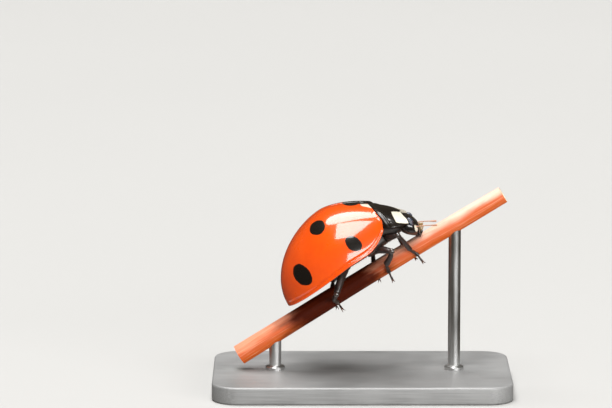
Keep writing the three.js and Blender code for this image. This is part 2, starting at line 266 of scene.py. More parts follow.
def domed(shares: Grid, cap: float) -> Grid:
    """A factor that rounds both ends of a limb off over a share of its length."""
    depth = np.clip(np.minimum(shares, 1 - shares) / cap, 0, 1)
    return np.sqrt(np.maximum(1 - (1 - depth) ** 2, 1e-4))


# ---- meshes


def ring_quads(count: int, sides: int) -> tuple[Grid, Grid, Grid]:
    """The faces between rings of points that follow one another.

    Args:
        count: Number of rings.
        sides: Points of a ring.

    Returns:
        Four point numbers a face, and the number of each face's ring and of its place round it.
    """
    i, j = (a.ravel() for a in np.meshgrid(np.arange(count - 1), np.arange(sides), indexing="ij"))
    k = (j + 1) % sides
    return np.stack([i * sides + j, (i + 1) * sides + j, (i + 1) * sides + k, i * sides + k], 1), i, j


def turned(profile: Iterable[tuple[float, float]], sides: int, x: float = 0.0) -> Grid:
    """Rings round an upright axis."""
    circle = np.stack([np.cos(full_turn(sides)), np.sin(full_turn(sides)), np.zeros(sides)], -1)
    return np.stack([circle * radius + (x, 0.0, level) for radius, level in profile])


@dataclass
class Patch:
    """A surface before it becomes a mesh."""

    points: Grid  # points in millimetres
    quads: Grid  # four point numbers a row
    tris: Grid  # three point numbers a row
    quad_uv: Grid  # surface coordinates of the quads' corners
    tri_uv: Grid  # surface coordinates of the triangles' corners
    quad_look: Grid
    tri_look: Grid

    @staticmethod
    def of_rings(rings: Grid, start: int = 0, end: int = 0) -> "Patch":
        """A closed body through rings of points, each end closed by a fan to its middle.

        Args:
            rings: Rings of points, one after another.
            start: Material number of the first fan.
            end: Material number of the last fan.

        Returns:
            The patch, its coordinates running along and around the body.
        """
        count, sides = rings.shape[:2]
        poles = np.stack([rings[0].mean(0), rings[-1].mean(0)])
        quads, i, j = ring_quads(count, sides)
        u, v = i / (count - 1), j / sides
        du, dv = 1 / (count - 1), 1 / sides
        quad_uv = np.stack([np.stack([u + a, v + b], 1) for a, b in ((0, 0), (du, 0), (du, dv), (0, dv))], 1)
        j = np.arange(sides)
        k, last = (j + 1) % sides, (count - 1) * sides
        first_fan = np.stack([np.full(sides, count * sides), j, k], 1)
        last_fan = np.stack([np.full(sides, count * sides + 1), last + k, last + j], 1)
        v = j / sides
        middle = np.stack([0 * v, v + dv / 2], 1)
        low, high = np.stack([0 * v, v], 1), np.stack([0 * v, v + dv], 1)
        ahead = np.array([1.0, 0.0])
        tri_uv = np.concatenate(
            [np.stack([middle, low, high], 1), np.stack([middle + ahead, high + ahead, low + ahead], 1)]
        )
        return Patch(
            np.concatenate([rings.reshape(-1, 3), poles]),
            quads,
            np.concatenate([first_fan, last_fan]),
            quad_uv,
            tri_uv,
            quad_look=np.zeros(len(quads), int),
            tri_look=np.repeat([start, end], sides),
        )

    @staticmethod
    def of_plate(outer: Grid, inner: Grid, folds: tuple[int, int] = (1, 1)) -> "Patch":
        """A closed plate between an outer grid and an inner one of the same size.

        Args:
            outer: The outer grid of points.
            inner: The inner grid of points.
            folds: Strips that join the two grids beyond the first and the last column.

        Returns:
            The patch.
        """
        columns = outer.shape[1]

        def strips(a: Grid, b: Grid, count: int) -> Grid:
            """The columns between two edges that part their gap into a number of strips."""
            share = (np.arange(1, count) / count)[None, :, None]
            return a[:, None] * (1 - share) + b[:, None] * share

        loop = np.concatenate(
            [
                outer,
                strips(outer[:, -1], inner[:, -1], folds[1]),
                inner[:, ::-1],
                strips(inner[:, 0], outer[:, 0], folds[0]),
            ],
            1,
        )
        patch = Patch.of_rings(loop)
        rows, sides = loop.shape[:2]
        back = columns + folds[1] - 1  # where the inner grid starts in the loop
        j = np.arange(columns - 1)
        mate = back + columns - 1 - j
        front = np.stack([j, j + 1, mate - 1, mate], 1)
        closed = [front, front[:, ::-1] + (rows - 1) * sides]
        corner_fans = []
        for ring_start, turn in ((0, 1), ((rows - 1) * sides, -1)):
            right = np.arange(columns - 1, back + 1)
            left = np.r_[np.arange(back + columns - 1, sides), 0]
            for rim in (right, left):
                for a, b in zip(rim[1:], rim[2:]):
                    corner_fans.append(np.array([rim[0], a, b])[::turn] + ring_start)
        flat = np.zeros((2 * (columns - 1), 4, 2))
        patch.points = patch.points[:-2]
        patch.quads = np.concatenate([patch.quads, *closed])
        patch.quad_uv = np.concatenate([patch.quad_uv, flat])
        patch.quad_look = np.zeros(len(patch.quads), int)
        patch.tris = np.array(corner_fans, int).reshape(-1, 3)
        patch.tri_uv = np.zeros((len(patch.tris), 3, 2))
        patch.tri_look = np.zeros(len(patch.tris), int)
        return patch

    def painted(self, look: int) -> "Patch":
        """Gives every face one material number.

        Args:
            look: The material number.

        Returns:
            The patch itself.
        """
        self.quad_look[:] = look
        self.tri_look[:] = look
        return self

    def tiled(self, tile: int, tiles: int) -> "Patch":
        """Moves the surface coordinates into one tile of a square sheet.

        Args:
            tile: Number of the tile.
            tiles: Tiles that the sheet has to hold.

        Returns:
            The patch itself.
        """
        border = 0.02
        across = math.ceil(math.sqrt(tiles))
        corner = np.array([tile % across, tile // across]) + border
        self.quad_uv = (self.quad_uv * (1 - 2 * border) + corner) / across
        self.tri_uv = (self.tri_uv * (1 - 2 * border) + corner) / across
        return self

    @staticmethod
    def joined(patches: Iterable["Patch"]) -> "Patch":
        """Joins patches, with their surface coordinates side by side.

        Args:
            patches: The patches.

        Returns:
            One patch.
        """
        parts = list(patches)
        if len(parts) == 1:
            return parts[0]
        starts = np.cumsum([0] + [len(part.points) for part in parts])
        for number, (part, start) in enumerate(zip(parts, starts)):
            part.tiled(number, len(parts))
            part.quads, part.tris = part.quads + start, part.tris + start
        return Patch(*(np.concatenate([getattr(part, one.name) for part in parts]) for one in fields(Patch)))

    def build(
        self,
        name: str,
        finishes: Sequence[Material],
        place: Callable[[Grid], Grid] = BODY.to_row,
        sharp: float = 50.0,
    ) -> Object:
        """Makes the mesh object.

        Args:
            name: Name of the object.
            finishes: Materials, in the order of the material numbers.
            place: Turns the points into row millimetres.
            sharp: Angle in degrees above which an edge stays sharp.

        Returns:
            The object, at the origin and facing outwards.
        """
        mesh = bpy.data.meshes.new(name)
        points = place(self.points) * METRES
        mesh.from_pydata(points.tolist(), [], self.quads.tolist() + self.tris.tolist())
        corners = np.concatenate([self.quad_uv.reshape(-1, 2), self.tri_uv.reshape(-1, 2)])
        mesh.uv_layers.new(name="UVMap").data.foreach_set("uv", corners.ravel())
        mesh.polygons.foreach_set("material_index", np.r_[self.quad_look, self.tri_look])
        for finish in finishes:
            mesh.materials.append(finish)
        face_outwards(mesh)
        mesh.shade_smooth()
        mesh.set_sharp_from_angle(angle=math.radians(sharp))
        return placed(name, mesh)


def placed(name: str, mesh: Mesh) -> Object:
    """Puts a mesh into the scene.

    Args:
        name: Name of its object.
        mesh: The mesh.

    Returns:
        The object.
    """
    obj = bpy.data.objects.new(name, mesh)
    bpy.context.scene.collection.objects.link(obj)
    return obj


def face_outwards(mesh: Mesh) -> None:
    """Turns the faces of closed surfaces outwards.

    Args:
        mesh: The mesh that holds them.
    """
    work = bmesh.new()
    work.from_mesh(mesh)
    bmesh.ops.recalc_face_normals(work, faces=work.faces)
    if work.calc_volume(signed=True) < 0:
        bmesh.ops.reverse_faces(work, faces=work.faces)
    work.to_mesh(mesh)
    work.free()


def enter(obj: Object, slot: Slot, *nodes: str) -> None:
    """Fixes a finished piece to the model.

    Args:
        obj: The piece.
        slot: The material slot of the piece; not used.
        nodes: The nodes that it stands for.
    """
    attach(obj, "root")
    if nodes:
        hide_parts(*nodes)
    LOG.info("%s: %d faces", obj.name, len(obj.data.polygons))


def swept(path: Grid, wide: Grid, deep: Grid, facing: Point, sides: int = 20) -> Grid:
    """Rings of an oval tube along a path.

    Args:
        path: Centres of the rings.
        wide: Half-size of each ring across the facing direction.
        deep: Half-size of each ring along the facing direction.
        facing: A direction that the path never follows.
        sides: Points of a ring.

    Returns:
        The rings.
    """
    tangent = unit(np.gradient(path, axis=0))
    across = unit(np.cross(tangent, np.asarray(facing, float)))
    level = np.cross(across, tangent)
    angle = full_turn(sides)[None, :, None]
    sideways = across[:, None] * np.asarray(wide)[:, None, None] * np.cos(angle)
    upright = level[:, None] * np.asarray(deep)[:, None, None] * np.sin(angle)
    return path[:, None] + sideways + upright


def ellipsoid(centre: Point, radii: Point, rows: int = 20, sides: int = 28) -> Patch:
    """A closed ellipsoid whose poles lie along z.

    Args:
        centre: Its middle.
        radii: Its half-sizes.
        rows: Rings of points between the poles.
        sides: Points of a ring.

    Returns:
        The patch.
    """
    polar = np.linspace(0, math.pi, rows + 2)[1:-1, None]
    angle = full_turn(sides)[None]
    ball = np.stack(
        [np.sin(polar) * np.cos(angle), np.sin(polar) * np.sin(angle), np.cos(polar) + 0 * angle], -1
    )
    return Patch.of_rings(np.array(centre) + ball * np.array(radii))


# ---- node trees


class Tree:
    """A node tree under construction, in which each node is made and linked by one call."""

    def __init__(self, tree: NodeTree, source: Node | None = None) -> None:
        """Keeps the tree."""
        self.tree = tree
        self.source = source

    @staticmethod
    def group(
        name: str, inputs: dict[str, str], outputs: dict[str, str], kind: str = "ShaderNodeTree"
    ) -> "Tree":
        """Starts a node group with named sockets.

        Args:
            name: Name of the group.
            inputs: Socket types by name.
            outputs: Socket types by name.
            kind: "ShaderNodeTree" or "GeometryNodeTree".

        Returns:
            The tree, with its Group Input node as `source`.
        """
        tree = bpy.data.node_groups.new(name, kind)
        for direction, sockets in (("INPUT", inputs), ("OUTPUT", outputs)):
            for label, shape in sockets.items():
                tree.interface.new_socket(label, in_out=direction, socket_type="NodeSocket" + shape)
        return Tree(tree, tree.nodes.new("NodeGroupInput"))

    def add(self, kind: str, links: dict | None = None, **settings: object) -> Node:
        """Adds a node.

        Args:
            kind: The node's type.
            links: Values or sockets for its inputs, by name or number.
            settings: The node's own properties.

        Returns:
            The node.
        """
        node = self.tree.nodes.new(kind)
        for key, value in settings.items():
            setattr(node, key, value)
        for key, value in (links or {}).items():
            socket = self.pick(node.inputs, key)
            if isinstance(value, Socket):
                self.tree.links.new(value, socket)
            else:
                socket.default_value = value
        return node

    @staticmethod
    def pick(sockets: Iterable[Socket], key: str | int) -> Socket:
        """Finds a socket.

        Args:
            sockets: The sockets of a node.
            key: A number, or the name of one that is in use.

        Returns:
            The socket.
        """
        if isinstance(key, int):
            return sockets[key]
        return next(socket for socket in sockets if socket.name == key and socket.enabled)

    def maths(self, operation: str, *values: object) -> Socket:
        """The result of a Math node."""
        return self.add("ShaderNodeMath", dict(enumerate(values)), operation=operation).outputs[0]

    def vector(self, operation: str, *values: object) -> Socket:
        """The result of a Vector Math node, a number for LENGTH and DOT_PRODUCT."""
        node = self.add("ShaderNodeVectorMath", dict(enumerate(values)), operation=operation)
        return node.outputs["Value" if operation in ("LENGTH", "DOT_PRODUCT") else "Vector"]

    def ramped(self, value: object, low: object, high: object, to: tuple = (0.0, 1.0)) -> Socket:
        """A value mapped smoothly from one range to another."""
        ends = {"Value": value, "From Min": low, "From Max": high, "To Min": to[0], "To Max": to[1]}
        return self.add("ShaderNodeMapRange", ends, interpolation_type="SMOOTHSTEP").outputs["Result"]

    def mixed(self, share: object, first: object, second: object) -> Socket:
        """Two colours mixed by a share."""
        links = {"Factor": share, "A": first, "B": second}
        return self.add("ShaderNodeMix", links, data_type="RGBA").outputs[2]

    def joined(self, x: object, y: object, z: object = 0.0) -> Socket:
        """A vector from its three numbers."""
        return self.add("ShaderNodeCombineXYZ", {0: x, 1: y, 2: z}).outputs[0]

    def noise(self, point: object, scale: object, detail: float = 2.0) -> Node:
        """A Noise Texture node."""
        return self.add("ShaderNodeTexNoise", {"Vector": point, "Scale": scale, "Detail": detail})

    def bump(self, height: object, distance: float = METRES, strength: float = 1.0) -> Socket:
        """The normal of a relief whose height is given in units of a distance."""
        links = {"Height": height, "Strength": strength, "Distance": distance}
        return self.add("ShaderNodeBump", links).outputs[0]

    def kept(self, mesh: object, name: str, value: object, **where: str) -> Socket:
        """A geometry that keeps a value under a name."""
        links = {"Geometry": mesh, "Name": name, "Value": value}
        return self.add("GeometryNodeStoreNamedAttribute", links, **where).outputs[0]

    def recalled(self, name: str) -> Socket:
        """A vector that a geometry keeps under a name."""
        links = {"Name": name}
        return self.add("GeometryNodeInputNamedAttribute", links, data_type="FLOAT_VECTOR").outputs[0]

    def use(self, group: "Tree", links: dict) -> Node:
        """Places a shader node group."""
        return self.add("ShaderNodeGroup", links, node_tree=group.tree)

    def finish(self, links: dict) -> "Tree":
        """Adds the Group Output node and links it."""
        self.add("NodeGroupOutput", links)
        return self


class Effects:
    """The shader node groups that several finishes share, each built once."""

    def __init__(self) -> None:
        """Builds every group."""
        self.place = self._place()
        self.pits = self._pits()
        self.oval = self._oval()
        self.side = self._side()
        self.mottle = self._mottle()

    @staticmethod
    def _place() -> Tree:
        """Body millimetres from object coordinates, both halves of the beetle alike, with a wavering copy.

        Returns:
            The group.
        """
        places = dict.fromkeys(("Point", "Half", "Wavy"), "Vector")
        tree = Tree.group("beetle_place", {"Waver": "Float"}, places)
        row = tree.add("ShaderNodeTexCoord").outputs["Object"]
        turning = {"Location": BODY.shift, "Rotation": (0, BODY.slope, 0), "Scale": (1 / METRES,) * 3}
        turned = tree.add("ShaderNodeMapping", {"Vector": row, **turning}).outputs[0]
        axes = tree.add("ShaderNodeSeparateXYZ", {0: turned}).outputs
        half = tree.joined(axes[0], tree.maths("ABSOLUTE", axes[1]), axes[2])
        waves_each_mm, detail, middle = 3.2, 3.0, (0.5, 0.5, 0.5)
        waves = tree.noise(turned, waves_each_mm, detail).outputs["Color"]
        drift = tree.vector("SUBTRACT", waves, middle)
        waver = tree.source.outputs["Waver"]
        wavy = tree.vector("ADD", half, tree.vector("MULTIPLY", drift, tree.joined(waver, waver, waver)))
        return tree.finish({"Point": turned, "Half": half, "Wavy": wavy})

    @staticmethod
    def _pits() -> Tree:
        """Fine round punctures, as a height from minus one to zero.

        Returns:
            The group.
        """
        inputs = {"Point": "Vector", "Each mm": "Float"}
        tree = Tree.group("punctures", inputs, {"Height": "Float"})
        source = tree.source.outputs
        cells = tree.add("ShaderNodeTexVoronoi", {"Vector": source["Point"], "Scale": source["Each mm"]})
        floor, rim = 0.08, 0.42  # distances from a puncture's middle, in spacings
        deep = tree.ramped(cells.outputs["Distance"], floor, rim, (-1.0, 0.0))
        return tree.finish({"Height": deep})

    @staticmethod
    def _oval() -> Tree:
        """A mask that is one inside an ellipsoid.

        Returns:
            The group.
        """
        axes = ("Length", "Width", "Depth")
        inputs = {"Point": "Vector", "Centre": "Vector", **dict.fromkeys(axes, "Vector"), "Softness": "Float"}
        tree = Tree.group("oval_mark", inputs, {"Mask": "Float"})
        source = tree.source.outputs
        offset = tree.vector("SUBTRACT", source["Point"], source["Centre"])
        shares = [tree.vector("DOT_PRODUCT", offset, source[axis]) for axis in axes]
        reach = tree.vector("LENGTH", tree.joined(*shares))
        inner = tree.maths("SUBTRACT", 1.0, source["Softness"])
        outer = tree.maths("ADD", 1.0, source["Softness"])
        return tree.finish({"Mask": tree.ramped(reach, inner, outer, (1.0, 0.0))})

    @staticmethod
    def _side() -> Tree:
        """A mask that is one ahead of a plane.

        Returns:
            The group.
        """
        inputs = {"Point": "Vector", "Normal": "Vector", "Offset": "Float"}
        tree = Tree.group("plane_mark", inputs, {"Mask": "Float"})
        source = tree.source.outputs
        reach = tree.vector("DOT_PRODUCT", source["Point"], source["Normal"])
        ahead = tree.maths("SUBTRACT", reach, source["Offset"])
        blur_mm = 0.012
        return tree.finish({"Mask": tree.ramped(ahead, -blur_mm, blur_mm)})

    @staticmethod
    def _mottle() -> Tree:
        """Cloudy variation round one half, broad and fine together.

        Returns:
            The group.
        """
        inputs = {"Point": "Vector", "Each mm": "Float"}
        tree = Tree.group("mottle", inputs, {"Share": "Float"})
        source = tree.source.outputs
        finer, broad_share, fine_share = 7.3, 0.7, 0.3
        broad = tree.noise(source["Point"], source["Each mm"], 3.0).outputs[0]
        fine = tree.noise(source["Point"], tree.maths("MULTIPLY", source["Each mm"], finer), 2.0).outputs[0]
        broad, fine = tree.maths("MULTIPLY", broad, broad_share), tree.maths("MULTIPLY", fine, fine_share)
        return tree.finish({"Share": tree.ramped(tree.maths("ADD", broad, fine), 0.3, 0.7)})


EFFECTS = Effects()


# ---- finishes


@dataclass(frozen=True)
class Oval:
    """An oval mark on both halves of the beetle."""

    colour: Colour
    centre: Point  # its middle on the left half
    length: Point  # its longer half-axis
    width: Point  # its shorter half-axis
    depth: float = 0.8  # how far it reaches into the body
    softness: float = 0.03  # width of its edge as a share of its size

    def mask(self, tree: Tree, point: Socket) -> Socket:
        """Adds the mark's mask to a material.

        Args:
            tree: The material's tree.
            point: Body millimetres.

        Returns:
            The mask.
        """
        length, width = Vector(self.length), Vector(self.width)
        inward = length.cross(width).normalized()
        links = {
            "Point": point,
            "Centre": self.centre,
            "Length": length / length.length_squared,
            "Width": width / width.length_squared,
            "Depth": inward / self.depth,
            "Softness": self.softness,
        }
        return tree.use(EFFECTS.oval, links).outputs[0]


@dataclass(frozen=True)
class Facet:
    """A mark with straight sides on both halves of the beetle."""

    colour: Colour
    # for each side the direction that points into the mark, and how far along it the side lies
    sides: tuple[tuple[Point, float], ...]

    def mask(self, tree: Tree, point: Socket) -> Socket:
        """Adds the mark's mask to a material.

        Args:
            tree: The material's tree.
            point: Body millimetres.

        Returns:
            The mask.
        """
        masks = []
        for normal, offset in self.sides:
            inward = Vector(normal)
            links = {"Point": point, "Normal": inward.normalized(), "Offset": offset / inward.length}
            masks.append(tree.use(EFFECTS.side, links).outputs[0])
        whole = masks[0]
        for mask in masks[1:]:
            whole = tree.maths("MULTIPLY", whole, mask)
        return whole


def new_material(name: str) -> tuple[Material, Tree]:
    """Starts a node material.

    Args:
        name: Name of the material.

    Returns:
        The material and its empty tree.
    """
    material = bpy.data.materials.new(name)
    material.use_nodes = True
    material.node_tree.nodes.clear()
    return material, Tree(material.node_tree)


def shade(tree: Tree, links: dict) -> None:
    """Adds a Principled BSDF with the given inputs, and the output node."""
    shader = tree.add("ShaderNodeBsdfPrincipled", links)
    tree.add("ShaderNodeOutputMaterial", {"Surface": shader.outputs[0]})


def solid(colour: Colour, brightness: float = 1.0) -> tuple[float, ...]:
    """A colour with no transparency, made brighter or darker."""
    return (*(min(1.0, part * brightness) for part in colour), 1.0)


@dataclass(frozen=True)
class Cuticle:
    """A beetle's hard skin: pigment under a clear gloss, with fine punctures and painted marks."""

    name: str
    colour: Colour
    deep: Colour  # the colour in its darker clouds
    roughness: float = 0.35  # roughness of the pigment
    coat: float = 1.0  # weight of the clear gloss
    coat_roughness: float = 0.1  # roughness of the clear gloss
    coat_ior: float = 1.55  # refraction of the clear gloss
    pits: float = 16.0  # punctures in each millimetre
    pit_depth: float = 0.0016  # depth of a puncture in millimetres
    swell: float = 0.0  # depth of a broad unevenness in millimetres
    swells: float = 3.0  # waves of that unevenness in each millimetre
    unevenness: float = 0.15  # share by which the roughness varies
    waver: float = 0.06  # how far the edges of marks stray, in millimetres
    clouds: float = 0.7  # clouds of the darker colour in each millimetre
    marks: tuple[Oval | Facet, ...] = ()  # the marks, each painted over the ones before it
    shine: float = 0.5  # specular level of the pigment
    polished: Facet | None = None  # where the clear gloss is whole, if the rest has less

    def material(self) -> Material:
        """Builds the material.

        Returns:
            The material.
        """
        material, tree = new_material(self.name)
        place = tree.use(EFFECTS.place, {"Waver": self.waver}).outputs
        cloud = tree.use(EFFECTS.mottle, {"Point": place["Point"], "Each mm": self.clouds}).outputs[0]
        colour = tree.mixed(cloud, solid(self.colour), solid(self.deep))
        for mark in self.marks:
            colour = tree.mixed(mark.mask(tree, place["Wavy"]), colour, solid(mark.colour))
        varied = (self.roughness * (1 - self.unevenness), self.roughness * (1 + self.unevenness))
        pits = tree.use(EFFECTS.pits, {"Point": place["Point"], "Each mm": self.pits}).outputs[0]
        height = tree.maths("MULTIPLY", pits, self.pit_depth)
        if self.swell:
            waves = tree.noise(place["Point"], self.swells).outputs[0]
            height = tree.maths("ADD", height, tree.maths("MULTIPLY", waves, self.swell))
        coat = self.coat
        if self.polished:
            whole = self.polished.mask(tree, place["Half"])
            coat = tree.maths("MULTIPLY_ADD", whole, 1 - self.coat, self.coat)
        links = {
            "Base Color": colour,
            "Roughness": tree.ramped(cloud, 0.0, 1.0, varied),
            "Normal": tree.bump(height),
            "Specular IOR Level": self.shine,
            "Coat Weight": coat,
            "Coat Roughness": self.coat_roughness,
            "Coat IOR": self.coat_ior,
        }
        shade(tree, links)
        return material


BLACK: Colour = (0.006, 0.0042, 0.0028)
IVORY: Colour = (0.62, 0.58, 0.47)


@dataclass(frozen=True)
class Bark:
    """The smooth skin of the stem with long streaks, paler along its top partly by painted light, with a
    painted highlight near the upper end and the beetle's painted shadow across its middle.
    """

    name: str = "stem_skin"
    top: Colour = (0.62, 0.25, 0.15)  # colour along the top, lighter partly by its own tone and partly as painted light from above
    pale: Colour = (0.88, 0.62, 0.5)  # painted highlight along the top near the upper end
    pale_share: float = 0.85  # how far the upper end takes the painted highlight
    # where along the stem the painted highlight starts, and where it is brightest, in millimetres
    painted_highlight_span: tuple[float, float] = (6.5, 12.5)
    flank: Colour = (0.56, 0.12, 0.045)
    under: Colour = (0.5, 0.09, 0.012)  # colour along the underside, darker partly by its own tone and partly as painted shade
    streak: Colour = (0.72, 0.36, 0.22)
    aged: Colour = (0.055, 0.006, 0.001)  # colour of the beetle's painted shadow on the stem
    painted_shadow_share: float = 1.0  # how far the painted shadow takes its colour
    # where along the stem the painted shadow starts and where it is whole, in millimetres
    shadow_begins: tuple[float, float] = (1.7, 3.7)
    # where along the stem the painted shadow is last whole and where it ends, in millimetres
    shadow_ends: tuple[float, float] = (6.6, 8.6)
    length: float = 14.0  # length of the stem, which makes the streaks long

    def material(self) -> Material:
        """Builds the material.

        Returns:
            The material.
        """
        material, tree = new_material(self.name)
        uv = tree.add("ShaderNodeSeparateXYZ", {0: tree.add("ShaderNodeTexCoord").outputs["UV"]}).outputs
        angle = tree.maths("MULTIPLY", uv[1], 2 * math.pi)
        height, aside = tree.maths("COSINE", angle), tree.maths("SINE", angle)
        along = tree.maths("MULTIPLY", uv[0], self.length)
        long_drawn, rounder = 0.09, 0.8  # waves along the stem for each one across it
        lane = tree.joined(tree.maths("MULTIPLY", along, long_drawn), height, aside)
        patch = tree.joined(tree.maths("MULTIPLY", along, rounder), height, aside)
        streaks = tree.noise(lane, 7.0, 6.0).outputs[0]
        clouds = tree.maths("SUBTRACT", tree.noise(patch, 1.3, 3.0).outputs[0], 0.5)
        grain = tree.noise(lane, 26.0, 3.0).outputs[0]

        # The top is lighter and the underside darker, partly the stem's own tones and partly painted light
        # from above.
        lifted = tree.maths("ADD", height, tree.maths("MULTIPLY", clouds, 0.7))
        colour = tree.mixed(tree.ramped(lifted, -0.75, 0.1), solid(self.under), solid(self.flank))
        # Towards the upper end the top takes the painted highlight.
        painted_highlight_mask = tree.maths("MULTIPLY", tree.ramped(along, *self.painted_highlight_span), self.pale_share)
        top = tree.mixed(painted_highlight_mask, solid(self.top), solid(self.pale))
        colour = tree.mixed(tree.ramped(lifted, 0.05, 0.95), colour, top)
        light = tree.maths("MULTIPLY", tree.ramped(streaks, 0.5, 0.72), 0.45)
        colour = tree.mixed(light, colour, solid(self.streak))
        dark = tree.maths("MULTIPLY", tree.ramped(streaks, 0.46, 0.3), 0.4)
        colour = tree.mixed(dark, colour, solid(self.under))

        # A stretch of the middle takes the beetle's painted shadow, its ends strayed by the clouds.
        stray_mm = 2.0
        strayed = tree.maths("ADD", along, tree.maths("MULTIPLY", clouds, stray_mm))
        rise, fall = tree.ramped(strayed, *self.shadow_begins), tree.ramped(strayed, *self.shadow_ends[::-1])
        aged = tree.maths("MULTIPLY", tree.maths("MULTIPLY", rise, fall), self.painted_shadow_share)
        colour = tree.mixed(aged, colour, solid(self.aged))

        streak_mm, grain_mm = 0.02, 0.006
        broad = tree.maths("MULTIPLY", streaks, streak_mm)
        relief = tree.maths("ADD", broad, tree.maths("MULTIPLY", grain, grain_mm))
        links = {
            "Base Color": colour,
            "Roughness": tree.ramped(grain, 0.3, 0.7, (0.42, 0.58)),
            "Specular IOR Level": 0.08,
            "Normal": tree.bump(relief),
            "Subsurface Weight": 0.12,
            "Subsurface Scale": 0.25 * METRES,
            "Subsurface Radius": (1.0, 0.35, 0.2),
        }
        shade(tree, links)
        return material


@dataclass(frozen=True)
class Pith:
    """The freshly cut end of the stem: a pale core inside a darker ring."""

    name: str = "stem_pith"
    core: Colour = (0.7, 0.62, 0.42)
    ring: Colour = (0.42, 0.24, 0.11)  # colour of the fibres round it
    cells: float = 14.0  # cells in each millimetre
    cell_depth: float = 0.02  # depth of a cell in millimetres
    clouds: float = 3.0  # clouds of the two colours in each millimetre

    def material(self) -> Material:
        """Builds the material.

        Returns:
            The material.
        """
        material, tree = new_material(self.name)
        place = tree.add("ShaderNodeTexCoord").outputs["Object"]
        cells = tree.add("ShaderNodeTexVoronoi", {"Vector": place, "Scale": self.cells / METRES})
        cloud = tree.noise(place, self.clouds / METRES, 4.0).outputs[0]
        colour = tree.mixed(tree.ramped(cloud, 0.35, 0.65), solid(self.core), solid(self.ring))
        normal = tree.bump(cells.outputs[0], self.cell_depth * METRES, 0.6)
        shade(tree, {"Base Color": colour, "Roughness": 0.85, "Normal": normal})
        return material


@dataclass(frozen=True)
class Steel:
    """Satin steel, brushed along one direction."""

    name: str
    stretch: Point  # frequencies of the brush lines along x, y and z, in each millimetre
    colour: Colour = (0.6, 0.6, 0.59)
    roughness: float = 0.34  # mean roughness of the metal
    metal: float = 1.0  # how far it shines like bare metal, below one under a satin lacquer

    def material(self) -> Material:
        """Builds the material.

        Returns:
            The material.
        """
        material, tree = new_material(self.name)
        place = tree.add("ShaderNodeTexCoord").outputs["Object"]
        scale = tuple(s / METRES for s in self.stretch)
        lined = tree.add("ShaderNodeMapping", {"Vector": place, "Scale": scale}).outputs[0]
        lines = tree.noise(lined, 1.0, 4.0).outputs[0]
        smear = tree.noise(place, 0.5 / METRES, 3.0).outputs[0]
        worn = tree.maths("ADD", tree.maths("MULTIPLY", lines, 0.6), tree.maths("MULTIPLY", smear, 0.4))
        dull, bright, line_depth = 0.86, 1.12, 0.01 * METRES
        colours = solid(self.colour, dull), solid(self.colour, bright)
        links = {
            "Base Color": tree.mixed(tree.ramped(worn, 0.35, 0.65), *colours),
            "Roughness": tree.ramped(worn, 0.3, 0.7, (self.roughness * 0.8, self.roughness * 1.2)),
            "Metallic": self.metal,
            "Normal": tree.bump(lines, line_depth, 0.35),
        }
        shade(tree, links)
        return material


@dataclass(frozen=True)
class Plain:
    """A matt or satin surface with faint clouds, for hairs and the floor."""

    name: str
    colour: Colour
    roughness: float = 0.6
    clouds: float = 2000.0  # clouds in each metre
    spread: float = 0.06  # how far the clouds lighten and darken the colour

    def material(self) -> Material:
        """Builds the material.

        Returns:
            The material.
        """
        material, tree = new_material(self.name)
        place = tree.add("ShaderNodeTexCoord").outputs["Object"]
        cloud = tree.noise(place, self.clouds, 3.0).outputs[0]
        colours = solid(self.colour, 1 - self.spread), solid(self.colour, 1 + self.spread)
        colour = tree.mixed(tree.ramped(cloud, 0.3, 0.7), *colours)
        shade(tree, {"Base Color": colour, "Roughness": self.roughness})
        return material


